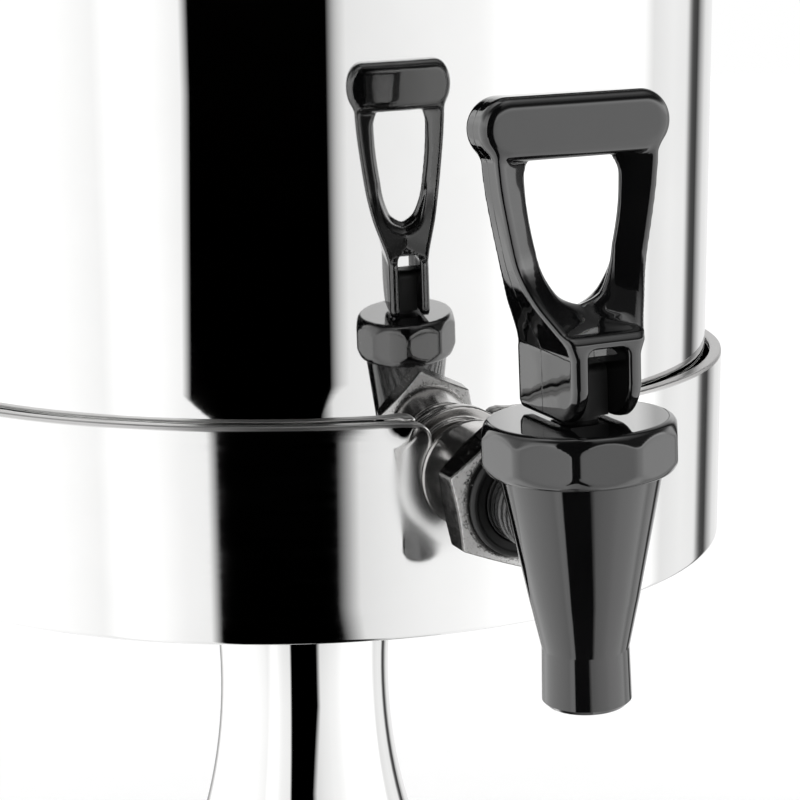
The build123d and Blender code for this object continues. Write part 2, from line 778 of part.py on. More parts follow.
handle_back = tap_front.offset(-hub_back - overrun)
handle_depth = hub_back + hub_front + overrun + overrun
handle_side = tap_profile.offset(-loop_half_width - overrun)
handle_span = loop_half_width + loop_half_width + overrun + overrun
with BuildPart() as handle:
    with BuildSketch(handle_back):
        with BuildLine():
            shoulder = (hub_half, hub_top)
            far_shoulder = (-hub_half, hub_top)
            Line((-hub_half, handle_foot), (hub_half, handle_foot))
            Line((hub_half, handle_foot), shoulder)
            Spline(shoulder, *reversed(arm_edge))
            Line(arm_edge[0], (-arm_edge[0][0], arm_edge[0][1]))
            Spline(*[(-across, up) for across, up in arm_edge], far_shoulder)
            Line(far_shoulder, (-hub_half, handle_foot))
        make_face()
    extrude(amount=handle_depth)
    with BuildSketch(handle_side):
        with BuildLine():
            heel_top = handle_foot + heel_bevel
            arm_root = handle_foot + arm_root_rise
            front_shoulder = (hub_front, hub_top)
            back_shoulder = (-hub_back, handle_foot + hub_back_shoulder)
            cam_start = (hub_front - cam_radius, handle_foot)
            Line((heel_bevel - hub_back, handle_foot), cam_start)
            JernArc(start=cam_start, tangent=(1, 0), radius=cam_radius, arc_size=90)
            Line((hub_front, handle_foot + cam_radius), front_shoulder)
            Spline(front_shoulder, (arm_front, arm_root), (arm_front, loop_top), tangents=[(-1, 1), (0, 1)])
            Line((arm_front, loop_top), (-arm_back, loop_top))
            arm_behind = [(-arm_back, loop_top), (-arm_back, arm_root)]
            Spline(*arm_behind, back_shoulder, tangents=[(0, -1), (-1, -1)])
            Line(back_shoulder, (-hub_back, heel_top))
            Line((-hub_back, heel_top), (heel_bevel - hub_back, handle_foot))
        make_face()
    extrude(amount=handle_span, mode=Mode.INTERSECT)
    arm_edges = handle.edges().sort_by(SortBy.LENGTH)[-4:]
    fillet(arm_edges.sort_by(Axis.Y)[-2:], radius=arm_edge_round)
    with BuildSketch(handle_back) as opening:
        with BuildLine():
            foot_point = (0, opening_bottom)
            top_right = (opening_half_width, opening_top)
            top_left = (-opening_half_width, opening_top)
            Spline(top_right, *opening_edge, foot_point, tangents=[(0, -1), (-1, 0)])
            Spline(
                foot_point,
                *[(-across, up) for across, up in reversed(opening_edge)],
                top_left,
                tangents=[(-1, 0), (0, 1)],
            )
            Line(top_left, top_right)
        make_face()
        fillet(opening.vertices().group_by(Axis.Y)[-1], radius=opening_corner)
    extrude(amount=handle_depth, mode=Mode.SUBTRACT)
    # Fork for the stem's head, and the blind seats of the pivot pin
    slot_low = handle_foot - overrun
    with BuildSketch(handle_back) as fork:
        with Locations((0, (slot_low + slot_roof) / 2)):
            Rectangle(slot_width, slot_roof - slot_low)
        fillet(fork.vertices().group_by(Axis.Y)[-1], radius=slot_round)
    extrude(amount=handle_depth, mode=Mode.SUBTRACT)
    with BuildSketch(tap_profile):
        with Locations((0, pivot_rise)):
            Circle(pivot_radius + touch_gap)
    extrude(amount=pin_half + touch_gap, both=True, mode=Mode.SUBTRACT)
    add(crossbar.part)
handle.part.label = "handle"
export_step(handle.part, "parts/handle.step")

# Lid gasket on the bead
gasket_top = container_top + gasket_thickness
gasket_inner = container_inner
gasket_outer = container_radius + bead_radius
with BuildPart() as lid_gasket:
    with BuildSketch(Plane.XY.offset(container_top)):
        Circle(gasket_outer)
        Circle(gasket_inner, mode=Mode.SUBTRACT)
    extrude(amount=gasket_thickness)
lid_gasket.part.label = "lid_gasket"
export_step(lid_gasket.part, "parts/lid_gasket.step")

# Lid: spun dome with a skirt inside the container
lid_radius = container_radius + lid_overhang
lid_rim_top = gasket_top + lid_wall
lid_top = lid_rim_top + lid_rise
lid_hole_radius = tube_radius + loose_gap
lid_shoulder_radius = container_radius - lid_shoulder_inset
tube_flange_radius = tube_radius + tube_flange_width
lid_flat_radius = tube_flange_radius + lid_flat_margin
skirt_radius = container_inner - lid_skirt_gap
with BuildPart() as lid:
    with BuildSketch(Plane.XZ):
        with BuildLine():
            shoulder = (lid_shoulder_radius, lid_rim_top)
            under_shoulder = (lid_shoulder_radius - lid_wall, gasket_top)
            crown = (lid_flat_radius, lid_top)
            under_crown = (lid_flat_radius, lid_top - lid_wall)
            Spline(shoulder, crown, tangents=[(-1, 1), (-1, 0)])
            Line(crown, under_crown)
            Spline(under_crown, under_shoulder, tangents=[(1, 0), (1, -1)])
            Line(under_shoulder, (lid_radius, gasket_top))
            Line((lid_radius, gasket_top), (lid_radius, lid_rim_top))
            Line((lid_radius, lid_rim_top), shoulder)
        make_face()
    revolve(axis=Axis.Z)
    with BuildSketch(Plane.XY.offset(gasket_top - lid_skirt_depth)):
        Circle(skirt_radius)
        Circle(skirt_radius - lid_wall, mode=Mode.SUBTRACT)
    extrude(amount=lid_skirt_depth + lid_wall / 2)
lid.part.label = "lid"
export_step(lid.part, "parts/lid.step")

# Collar: the flat ring in the middle of the lid that the ice tube hangs in
with BuildPart() as lid_collar:
    with BuildSketch(Plane.XY.offset(lid_top - lid_wall)):
        Circle(lid_flat_radius - touch_gap)
        Circle(lid_hole_radius, mode=Mode.SUBTRACT)
    extrude(amount=lid_wall)
lid_collar.part.label = "lid_collar"
export_step(lid_collar.part, "parts/lid_collar.step")

# Ice tube hung in the lid, with the seal under its flange
tube_seal_top = lid_top + tube_seal_thickness
tube_bottom = container_bottom + container_wall + tube_bottom_gap
tube_top = tube_seal_top + tube_flange_thickness
with BuildPart() as tube_seal:
    with BuildSketch(Plane.XY.offset(lid_top)):
        Circle(lid_hole_radius + tube_seal_width)
        Circle(lid_hole_radius, mode=Mode.SUBTRACT)
    extrude(amount=tube_seal_thickness)
tube_seal.part.label = "tube_seal"
export_step(tube_seal.part, "parts/tube_seal.step")

tube_inner = tube_radius - tube_wall
tube_inner_corner = tube_corner - tube_wall
tube_floor = tube_bottom + tube_wall
with BuildPart() as ice_tube:
    with BuildSketch(Plane.XZ):
        with BuildLine():
            Line((0, tube_bottom), (tube_radius - tube_corner, tube_bottom))
            tube_turn = (tube_radius - tube_corner, tube_bottom)
            JernArc(start=tube_turn, tangent=(1, 0), radius=tube_corner, arc_size=90)
            Polyline(
                (tube_radius, tube_bottom + tube_corner),
                (tube_radius, tube_seal_top),
                (tube_flange_radius, tube_seal_top),
                (tube_flange_radius, tube_top),
                (tube_inner, tube_top),
                (tube_inner, tube_floor + tube_inner_corner),
            )
            inner_turn = (tube_inner, tube_floor + tube_inner_corner)
            JernArc(start=inner_turn, tangent=(0, -1), radius=tube_inner_corner, arc_size=-90)
            Line((tube_inner - tube_inner_corner, tube_floor), (0, tube_floor))
            Line((0, tube_floor), (0, tube_bottom))
        make_face()
    revolve(axis=Axis.Z)
ice_tube.part.label = "ice_tube"
export_step(ice_tube.part, "parts/ice_tube.step")

# Cap of the ice tube
cap_top = tube_top + cap_height
with BuildPart() as tube_cap:
    with BuildSketch(Plane.XY.offset(tube_top)):
        Circle(tube_flange_radius)
    extrude(amount=cap_height)
    fillet(tube_cap.edges().group_by(Axis.Z)[-1], radius=cap_edge)
    with BuildSketch(Plane.XY.offset(tube_top)):
        Circle(knob_screw_radius + touch_gap)
    extrude(amount=cap_height, mode=Mode.SUBTRACT)
tube_cap.part.label = "tube_cap"
export_step(tube_cap.part, "parts/tube_cap.step")

# Plug under the cap, with a groove for its seal and a recess for the knob's screw
plug_radius = tube_inner - cap_plug_gap
plug_bottom = tube_top - cap_plug_depth
seal_height = tube_top - cap_seal_drop
seal_ring_radius = tube_inner - touch_gap - cap_seal_radius
with BuildPart() as cap_plug:
    with BuildSketch(Plane.XY.offset(plug_bottom)):
        Circle(plug_radius)
    extrude(amount=cap_plug_depth)
    with BuildSketch(Plane.XZ):
        with Locations((seal_ring_radius, seal_height)):
            Circle(cap_seal_radius + touch_gap)
    revolve(axis=Axis.Z, mode=Mode.SUBTRACT)
    with BuildSketch(Plane.XY.offset(plug_bottom)):
        Circle(knob_screw_head_radius + loose_gap)
    extrude(amount=cap_plug_depth - plug_roof, mode=Mode.SUBTRACT)
    with BuildSketch(Plane.XY.offset(plug_bottom)):
        Circle(knob_screw_radius + touch_gap)
    extrude(amount=cap_plug_depth, mode=Mode.SUBTRACT)
cap_plug.part.label = "cap_plug"
export_step(cap_plug.part, "parts/cap_plug.step")

with BuildPart() as cap_seal:
    with BuildSketch(Plane.XZ):
        with Locations((seal_ring_radius, seal_height)):
            Circle(cap_seal_radius)
    revolve(axis=Axis.Z)
cap_seal.part.label = "cap_seal"
export_step(cap_seal.part, "parts/cap_seal.step")

# Knob and its screw, driven up through the cap
knob_top = cap_top + knob_height
with BuildPart() as knob:
    with BuildSketch(Plane.XZ):
        with BuildLine():
            waist = (knob_neck_radius, cap_top + knob_neck_height)
            Line((0, cap_top), (knob_neck_radius + cap_edge, cap_top))
            Line((knob_neck_radius + cap_edge, cap_top), waist)
            Spline(
                waist,
                (knob_radius, (cap_top + knob_neck_height + knob_top) / 2),
                (0, knob_top),
                tangents=[(1, 1), (-1, 0)],
            )
            Line((0, knob_top), (0, cap_top))
        make_face()
    revolve(axis=Axis.Z)
    with BuildSketch(Plane.XY.offset(cap_top)):
        Circle(knob_screw_radius + touch_gap)
    extrude(amount=knob_bore_depth, mode=Mode.SUBTRACT)
knob.part.label = "knob"
export_step(knob.part, "parts/knob.step")

screw_seat = tube_top - plug_roof
with BuildPart() as knob_screw:
    with BuildSketch(Plane.XY.offset(screw_seat - knob_screw_head_height)):
        Circle(knob_screw_head_radius)
    extrude(amount=knob_screw_head_height)
    with BuildSketch(Plane.XY.offset(screw_seat)):
        Circle(knob_screw_radius)
    extrude(amount=plug_roof + cap_height + knob_bore_depth - overrun)
knob_screw.part.label = "knob_screw"
export_step(knob_screw.part, "parts/knob_screw.step")

# Arm that carries the drip tray, between the foot pad and the base weight
tray_centre = base_radius + tray_gap + tray_radius
arm_end = tray_centre + tray_radius * arm_end_share
arm_bottom = base_floor
arm_length = arm_end - arm_inner_end
with BuildPart() as tray_arm:
    with BuildSketch(Plane.XY.offset(arm_bottom)) as arm_outline:
        with Locations((0, -(arm_inner_end + arm_end) / 2)):
            Rectangle(arm_width, arm_length)
        fillet(arm_outline.vertices().group_by(Axis.Y)[0], radius=arm_width / 4)
    extrude(amount=arm_thickness)
    with BuildSketch(Plane.XY.offset(arm_bottom)):
        with Locations((0, arm_screw_y)):
            with GridLocations(arm_screw_spacing, 0, 2, 1):
                Circle(arm_screw_radius + touch_gap)
    extrude(amount=arm_thickness, mode=Mode.SUBTRACT)
    with Locations((0, arm_screw_y, arm_bottom)):
        with GridLocations(arm_screw_spacing, 0, 2, 1):
            Cone(
                arm_screw_head_radius + touch_gap,
                arm_screw_radius + touch_gap,
                arm_thickness,
                align=(Align.CENTER, Align.CENTER, Align.MIN),
                mode=Mode.SUBTRACT,
            )
tray_arm.part.label = "tray_arm"
export_step(tray_arm.part, "parts/tray_arm.step")

with BuildPart() as arm_screws:
    with Locations((0, arm_screw_y, arm_bottom)):
        with GridLocations(arm_screw_spacing, 0, 2, 1):
            on_floor = (Align.CENTER, Align.CENTER, Align.MIN)
            Cone(arm_screw_head_radius, arm_screw_radius, arm_thickness, align=on_floor)
            Cylinder(arm_screw_radius, arm_screw_length, align=on_floor)
arm_screws.part.label = "arm_screws"
export_step(arm_screws.part, "parts/arm_screws.step")

with BuildPart() as arm_pad:
    with BuildSketch(Plane.XY):
        with Locations((0, arm_pad_length / 2 - arm_end + arm_width / 4)):
            Rectangle(arm_width - arm_pad_inset - arm_pad_inset, arm_pad_length)
    extrude(amount=pad_thickness)
arm_pad.part.label = "arm_pad"
export_step(arm_pad.part, "parts/arm_pad.step")

# Drip tray: round pan with a rolled lip, a ledge for its grille and two rails beside the arm
tray_floor = arm_top + loose_gap
tray_top = tray_floor + tray_height
tray_inner = tray_radius - tray_wall
ledge_height = tray_top - ledge_drop
ledge_radius = tray_inner - ledge_width
with BuildPart() as drip_tray:
    with BuildSketch(Plane.XY.offset(tray_floor)):
        with Locations((0, -tray_centre)):
            Circle(tray_radius)
    extrude(amount=tray_height)
    fillet(drip_tray.faces().sort_by(Axis.Z)[0].edges(), radius=tray_wall * 2)
    with BuildSketch(Plane.XY.offset(tray_floor + tray_wall)):
        with Locations((0, -tray_centre)):
            Circle(ledge_radius)
    extrude(amount=tray_height, mode=Mode.SUBTRACT)
    with BuildSketch(Plane.XY.offset(ledge_height)):
        with Locations((0, -tray_centre)):
            Circle(tray_inner)
    extrude(amount=tray_height, mode=Mode.SUBTRACT)
    rail_inner = arm_width / 2 + loose_gap
    rail_drop = arm_thickness - rail_foot_gap
    with BuildSketch(Plane.XY.offset(tray_floor - rail_drop)):
        with Locations((0, -tray_centre)):
            with GridLocations(rail_inner * 2 + rail_width, 0, 2, 1):
                Rectangle(rail_width, tray_radius)
    extrude(amount=rail_drop + tray_wall / 2)
drip_tray.part.label = "drip_tray"
export_step(drip_tray.part, "parts/drip_tray.step")

# Grille of the drip tray: rings of round holes
grille_radius = tray_inner - loose_gap
grille_ring_pitch = (grille_radius - grille_rim - grille_hole_radius) / grille_rings
with BuildPart() as drip_grille:
    with BuildSketch(Plane.XY.offset(ledge_height)):
        with Locations((0, -tray_centre)):
            Circle(grille_radius)
            Circle(grille_hole_radius, mode=Mode.SUBTRACT)
            for ring in range(1, grille_rings + 1):
                with PolarLocations(ring * grille_ring_pitch, ring * 6):
                    Circle(grille_hole_radius, mode=Mode.SUBTRACT)
    extrude(amount=grille_thickness)
drip_grille.part.label = "drip_grille"
export_step(drip_grille.part, "parts/drip_grille.step")
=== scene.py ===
import json
import math

import bmesh
import bpy
import numpy as np
from mathutils import Matrix, Vector


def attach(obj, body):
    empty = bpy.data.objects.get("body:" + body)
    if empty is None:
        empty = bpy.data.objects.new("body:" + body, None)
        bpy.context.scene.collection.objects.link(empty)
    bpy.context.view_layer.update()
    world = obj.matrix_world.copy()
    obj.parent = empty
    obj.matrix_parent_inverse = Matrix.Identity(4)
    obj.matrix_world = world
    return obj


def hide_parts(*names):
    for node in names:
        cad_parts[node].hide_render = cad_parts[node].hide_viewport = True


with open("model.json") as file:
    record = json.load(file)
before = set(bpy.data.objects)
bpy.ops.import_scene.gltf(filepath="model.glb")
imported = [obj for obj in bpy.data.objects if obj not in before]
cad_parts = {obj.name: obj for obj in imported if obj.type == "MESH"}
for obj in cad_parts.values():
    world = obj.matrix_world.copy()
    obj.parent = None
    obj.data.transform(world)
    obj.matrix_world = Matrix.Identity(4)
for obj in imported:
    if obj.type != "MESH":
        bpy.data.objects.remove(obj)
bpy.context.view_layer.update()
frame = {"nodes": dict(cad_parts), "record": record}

nodes = frame["nodes"]
scene = bpy.context.scene
MM = 0.001


# Node helpers

def empty_tree(owner):
    """Node tree of a material or a world, with nothing in it."""
    owner.use_nodes = True
    owner.node_tree.nodes.clear()
    return owner.node_tree


def show(tree, shader, kind="ShaderNodeOutputMaterial"):
    tree.links.new(shader, tree.nodes.new(kind).inputs["Surface"])


def new_material(name):
    made = bpy.data.materials.new(name)
    tree = empty_tree(made)
    shader = tree.nodes.new("ShaderNodeBsdfPrincipled")
    show(tree, shader.outputs["BSDF"])
    return made, tree, shader


def add(tree, kind, **values):
    node = tree.nodes.new(kind)
    for name, value in values.items():
        if name in node.inputs:
            node.inputs[name].default_value = value
        else:
            setattr(node, name, value)
    return node


def set_inputs(node, values):
    for name, value in values.items():
        node.inputs[name].default_value = value


def ramp(tree, source, stops):
    """Colour that follows a value; stops are (place, grey or colour)."""
    node = tree.nodes.new("ShaderNodeValToRGB")
    elements = node.color_ramp.elements
    while len(elements) < len(stops):
        elements.new(0.5)
    for element, (place, value) in zip(elements, sorted(stops, key=lambda s: s[0])):
        element.position = place
        colour = (value, value, value) if isinstance(value, (int, float)) else value
        element.color = (*colour, 1)
    tree.links.new(source, node.inputs["Fac"])
    return node.outputs["Color"]


def maths(tree, operation, first, second=None):
    node = tree.nodes.new("ShaderNodeMath")
    node.operation = operation
    for socket, value in zip(node.inputs, (first, second)):
        if value is None:
            continue
        if isinstance(value, (int, float)):
            socket.default_value = value
        else:
            tree.links.new(value, socket)
    return node.outputs[0]


def hypot_of(tree, first, second):
    squares = [maths(tree, "MULTIPLY", leg, leg) for leg in (first, second)]
    return maths(tree, "SQRT", maths(tree, "ADD", *squares))


def span(tree, value, low, high, to_low, to_high):
    node = tree.nodes.new("ShaderNodeMapRange")
    set_inputs(node, {"From Min": low, "From Max": high, "To Min": to_low, "To Max": to_high})
    tree.links.new(value, node.inputs["Value"])
    return node.outputs["Result"]


def blend(tree, share, first, second, kind="MIX"):
    """Mix of two colours; share and colours are sockets or plain values."""
    node = add(tree, "ShaderNodeMix", data_type="RGBA", blend_type=kind)
    for name, value in (("Factor", share), ("A", first), ("B", second)):
        if isinstance(value, bpy.types.NodeSocket):
            tree.links.new(value, node.inputs[name])
        else:
            node.inputs[name].default_value = value
    return node.outputs["Result"]


def object_noise(tree, scale, stretch=(1, 1, 1), detail=4.0, roughness=0.6):
    """Noise over the object's own metres, stretched along an axis."""
    place = tree.nodes.new("ShaderNodeTexCoord")
    mapping = tree.nodes.new("ShaderNodeMapping")
    mapping.inputs["Scale"].default_value = stretch
    tree.links.new(place.outputs["Object"], mapping.inputs["Vector"])
    texture = add(tree, "ShaderNodeTexNoise", Scale=scale, Detail=detail, Roughness=roughness)
    tree.links.new(mapping.outputs["Vector"], texture.inputs["Vector"])
    return texture.outputs["Fac"]


def object_axis(tree, axis):
    place = tree.nodes.new("ShaderNodeTexCoord")
    split = tree.nodes.new("ShaderNodeSeparateXYZ")
    tree.links.new(place.outputs["Object"], split.inputs["Vector"])
    return split.outputs[axis]


def distance_from(tree, centre):
    place = tree.nodes.new("ShaderNodeTexCoord")
    measure = add(tree, "ShaderNodeVectorMath", operation="DISTANCE")
    tree.links.new(place.outputs["Object"], measure.inputs[0])
    measure.inputs[1].default_value = centre
    return measure.outputs["Value"]


def round_noise(tree, around=6.0, along=900.0):
    """Noise over angle, reach and height about Z, for marks that run round a spun piece."""
    across, front, high = (object_axis(tree, axis) for axis in "XYZ")
    angle = maths(tree, "ARCTAN2", front, across)
    joined = tree.nodes.new("ShaderNodeCombineXYZ")
    tree.links.new(maths(tree, "MULTIPLY", angle, around), joined.inputs["X"])
    tree.links.new(maths(tree, "MULTIPLY", hypot_of(tree, across, front), along), joined.inputs["Y"])
    tree.links.new(maths(tree, "MULTIPLY", high, along), joined.inputs["Z"])
    texture = add(tree, "ShaderNodeTexNoise", Scale=1.0, Detail=5.0, Roughness=0.65)
    tree.links.new(joined.outputs["Vector"], texture.inputs["Vector"])
    return texture.outputs["Fac"]


def bump(tree, shader, height, strength, distance, base=None):
    """Relief on the shader's normal, over the normal of an earlier bump."""
    node = add(tree, "ShaderNodeBump", Strength=strength, Distance=distance)
    tree.links.new(height, node.inputs["Height"])
    if base is not None:
        tree.links.new(base, node.inputs["Normal"])
    tree.links.new(node.outputs["Normal"], shader.inputs["Normal"])
    return node.outputs["Normal"]


def uneven_gloss(tree, shader, noise, smooth, rough, low=0.3, high=0.7):
    """Roughness that follows a noise, whose values mostly lie from low to high."""
    tree.links.new(span(tree, noise, low, high, smooth, rough), shader.inputs["Roughness"])


def mottled(tree, noise, dark, light, low=0.3, high=0.7):
    """Colour that follows a noise, whose values mostly lie from low to high."""
    return ramp(tree, noise, [(low, dark), (high, light)])


def uneven_colour(tree, shader, noise, dark, light, **limits):
    tree.links.new(mottled(tree, noise, dark, light, **limits), shader.inputs["Base Color"])


def darker(colour, share):
    return tuple(value * share for value in colour)


# Materials: lengths are in metres, and a noise's scale is per metre

def mirror_steel(name, smooth=0.02, rough=0.06, scratch=0.02, tint=(0.93, 0.93, 0.925),
                 wave=0.0, pressed=None, rim=None, inside=None):
    """Mirror-polished steel: fine polishing lines round the piece, a faint haze and slow ripple.

    pressed is the middle of a drawn notch, rim the height from which the edge is duller, and
    inside the radius within which the sheet is satin.
    """
    line_low, line_high, haze_dark = 0.12, 0.42, 0.975
    press_near, press_far, press_rough = 0.012, 0.0185, 0.24
    rim_ease, rim_rough, rim_tint = 0.0004, 0.35, (0.52, 0.515, 0.51, 1)
    satin_ease, satin_rough, satin_metal = 0.0002, 0.5, 0.35
    made, tree, shader = new_material(name)
    set_inputs(shader, {"Metallic": 1.0, "IOR": 2.5})
    lines = round_noise(tree)
    haze = object_noise(tree, 55.0, detail=3.0)
    gloss = span(tree, maths(tree, "MULTIPLY", lines, haze), line_low, line_high, smooth, rough)
    shade = mottled(tree, haze, darker(tint, haze_dark), tint)
    if pressed:
        away = distance_from(tree, pressed)
        gloss = maths(tree, "MAXIMUM", gloss, span(tree, away, press_near, press_far, press_rough, 0.0))
    if rim:
        on_rim = span(tree, object_axis(tree, "Z"), rim, rim + rim_ease, 0.0, 1.0)
        gloss = maths(tree, "MAXIMUM", gloss, maths(tree, "MULTIPLY", on_rim, rim_rough))
        shade = blend(tree, on_rim, shade, rim_tint)
    if inside:
        reach = hypot_of(tree, object_axis(tree, "X"), object_axis(tree, "Y"))
        within = span(tree, reach, inside, inside + satin_ease, 1.0, 0.0)
        gloss = maths(tree, "MAXIMUM", gloss, maths(tree, "MULTIPLY", within, satin_rough))
        tree.links.new(span(tree, within, 0.0, 1.0, 1.0, satin_metal), shader.inputs["Metallic"])
    tree.links.new(gloss, shader.inputs["Roughness"])
    tree.links.new(shade, shader.inputs["Base Color"])
    normal = bump(tree, shader, lines, strength=scratch, distance=0.00004)
    if wave:
        ripple = object_noise(tree, 9.0, stretch=(1, 1, 0.5), detail=1.0)
        bump(tree, shader, ripple, strength=wave, distance=0.0008, base=normal)
    return made


def satin_steel(name, tint=(0.6, 0.6, 0.59), smooth=0.25, rough=0.42):
    """Rolled sheet steel with a fine grain along X."""
    made, tree, shader = new_material(name)
    set_inputs(shader, {"Metallic": 1.0, "IOR": 2.5})
    grain = object_noise(tree, 300.0, stretch=(1, 14, 14), detail=6.0)
    uneven_gloss(tree, shader, grain, smooth, rough)
    uneven_colour(tree, shader, grain, darker(tint, 0.86), tint, low=0.25, high=0.75)
    bump(tree, shader, grain, strength=0.18, distance=0.00005)
    return made


def turned_steel(name, centre, bevel_at, tint=(0.15, 0.147, 0.144), highlight_and_dust_tone=(0.96, 0.95, 0.94)):
    """Plated steel about an axis along Y: dark flats with fine scratches and pale specks of dust, and a
    bevel coloured near-white as a painted highlight.
    """
    bevel_before, bevel_after, bevel_slope = 0.00012, 0.00005, 0.5
    corner_from, corner_to = 0.0109, 0.0113
    speck_low, speck_high, speck_share = 0.63, 0.7, 0.6
    patch_from, patch_to, patch_less, patch_more = 0.0112, 0.0128, -0.04, 0.14
    patch_low, patch_high, patch_least = 0.44, 0.56, 0.15
    scratch_low, scratch_high = 0.45, 0.75
    flat_smooth, flat_rough, bevel_rough, highlight_and_dust_metal = 0.08, 0.3, 0.45, 0.05
    made, tree, shader = new_material(name)
    set_inputs(shader, {"IOR": 2.5})
    long_marks = object_noise(tree, 420.0, stretch=(1, 1, 12), detail=7.0)
    short_marks = object_noise(tree, 900.0, stretch=(9, 2, 1), detail=7.0)
    marks = maths(tree, "MAXIMUM", long_marks, short_marks)
    specks = object_noise(tree, 2000.0, detail=5.0)
    high = maths(tree, "SUBTRACT", object_axis(tree, "Z"), centre[2])
    reach = hypot_of(tree, object_axis(tree, "X"), high)
    off_middle = maths(tree, "ABSOLUTE", maths(tree, "SUBTRACT", object_axis(tree, "Y"), centre[1]))
    slant = maths(tree, "ADD", maths(tree, "MULTIPLY", reach, bevel_slope), off_middle)
    bevel = span(tree, slant, bevel_at - bevel_before, bevel_at + bevel_after, 0.0, 1.0)
    bevel = maths(tree, "MULTIPLY", bevel, span(tree, reach, corner_from, corner_to, 0.0, 1.0))
    # Painted highlight: the bevel is coloured near-white and made almost non-metal so that it looks bright;
    # the specks are pale dust
    highlight_and_specks = maths(tree, "MAXIMUM", bevel, span(tree, specks, speck_low, speck_high, 0.0, speck_share))
    patches = maths(tree, "ADD", specks, span(tree, reach, patch_from, patch_to, patch_less, patch_more))
    share = maths(tree, "MULTIPLY", highlight_and_specks, span(tree, patches, patch_low, patch_high, patch_least, 1.0))
    tree.links.new(span(tree, share, 0.0, 1.0, 1.0, highlight_and_dust_metal), shader.inputs["Metallic"])
    tree.links.new(blend(tree, share, (*tint, 1), (*highlight_and_dust_tone, 1)), shader.inputs["Base Color"])
    rough = maths(tree, "MAXIMUM", span(tree, marks, scratch_low, scratch_high, flat_smooth, flat_rough),
                  maths(tree, "MULTIPLY", bevel, bevel_rough))
    tree.links.new(rough, shader.inputs["Roughness"])
    bump(tree, shader, marks, strength=0.3, distance=0.00008)
    return made


def gloss_plastic(name, smooth=0.03, rough=0.07, wave=0.08, seam=None, thread=None):
    """Black moulded plastic: an uneven gloss, a faint flow ripple, the mould's seam and a rough thread.

    seam is the parting plane's Y, and thread the Y behind which the shank is threaded.
    """
    dark, light = (0.003, 0.003, 0.00315), (0.0048, 0.0048, 0.00495)
    ridge_from, ridge_to = 0.00005, 0.0002
    seam_from, seam_to, seam_gloss, full_gloss = 0.00004, 0.00012, 0.12, 0.5
    pitch, chip_depth, thread_ease = 0.0011, 3.0, 0.0002
    made, tree, shader = new_material(name)
    set_inputs(shader, {"IOR": 1.95})
    cloud = object_noise(tree, 120.0, detail=5.0)
    uneven_gloss(tree, shader, cloud, smooth, rough)
    uneven_colour(tree, shader, cloud, dark, light, high=0.75)
    normal = bump(tree, shader, object_noise(tree, 1800.0, detail=2.0), strength=0.02, distance=0.00003)
    flow = object_noise(tree, 160.0, detail=1.0)
    normal = bump(tree, shader, flow, strength=wave, distance=0.0001, base=normal)
    if seam is not None:
        off_seam = maths(tree, "ABSOLUTE", maths(tree, "SUBTRACT", object_axis(tree, "Y"), seam))
        ridge = span(tree, off_seam, ridge_from, ridge_to, 1.0, 0.0)
        bump(tree, shader, ridge, strength=0.1, distance=0.0001, base=normal)
        level = span(tree, off_seam, seam_from, seam_to, seam_gloss, full_gloss)
        tree.links.new(level, shader.inputs["Specular IOR Level"])
    if thread is not None:
        along = object_axis(tree, "Y")
        teeth = maths(tree, "SINE", maths(tree, "MULTIPLY", along, 2 * math.pi / pitch))
        chips = maths(tree, "MULTIPLY", object_noise(tree, 2600.0, detail=6.0), chip_depth)
        on_thread = span(tree, along, thread - thread_ease, thread + thread_ease, 0.0, 1.0)
        cut = maths(tree, "MULTIPLY", maths(tree, "ADD", teeth, chips), on_thread)
        bump(tree, shader, cut, strength=1.0, distance=0.0003, base=normal)
    return made


def soft_rubber(name):
    made, tree, shader = new_material(name)
    grain = object_noise(tree, 700.0, detail=6.0)
    uneven_gloss(tree, shader, grain, 0.4, 0.6)
    uneven_colour(tree, shader, grain, 0.0063, 0.0126)
    bump(tree, shader, grain, strength=0.25, distance=0.00008)
    return made


def silicone(name):
    made, tree, shader = new_material(name)
    set_inputs(shader, {"IOR": 1.41, "Subsurface Weight": 0.2, "Subsurface Scale": 0.002})
    cloud = object_noise(tree, 260.0, detail=4.0)
    uneven_gloss(tree, shader, cloud, 0.3, 0.48)
    uneven_colour(tree, shader, cloud, (0.62, 0.62, 0.59), (0.74, 0.74, 0.71))
    bump(tree, shader, cloud, strength=0.1, distance=0.0001)
    return made


def cast_iron(name):
    made, tree, shader = new_material(name)
    set_inputs(shader, {"Metallic": 0.6})
    grain = object_noise(tree, 240.0, detail=8.0, roughness=0.7)
    uneven_gloss(tree, shader, grain, 0.55, 0.85)
    uneven_colour(tree, shader, grain, (0.07, 0.07, 0.075), (0.2, 0.2, 0.205))
    bump(tree, shader, grain, strength=0.5, distance=0.0004)
    return made


# Places that the finishes follow, in metres of the frame; the nut's bevel starts where half its
# reach plus the distance from the nut's middle comes to nut_bevel
shank_height = 0.2115
can_bore = 0.0992
notch_centre = (0, -0.104, 0.2088)
rim_foot = 0.2209
nut_centre = (0, -0.12645, shank_height)
nut_bevel = 0.0104
handle_seam = -0.156
thread_from = -0.148

can_polish = {"smooth": 0.012, "rough": 0.035, "scratch": 0.012}
can_steel = mirror_steel("can_steel", **can_polish)
can_inside = mirror_steel("brushed_inside", **can_polish, inside=can_bore)
band_steel = mirror_steel("band_steel", smooth=0.03, rough=0.075, scratch=0.03, wave=0.02,
                          pressed=notch_centre, rim=rim_foot)
fitting_steel = mirror_steel("fitting_steel", smooth=0.14, rough=0.26, scratch=0.1, tint=(0.52, 0.51, 0.5))
nut_steel = turned_steel("nut_steel", nut_centre, nut_bevel)
sheet_steel = satin_steel("sheet_steel")
tap_black = gloss_plastic("tap_black")
handle_black = gloss_plastic("handle_black", smooth=0.02, rough=0.05, wave=0.5, seam=handle_seam)
threaded_black = gloss_plastic("threaded_black", thread=thread_from)
rubber_black = soft_rubber("rubber_black")
milky_silicone = silicone("milky_silicone")
iron = cast_iron("iron")

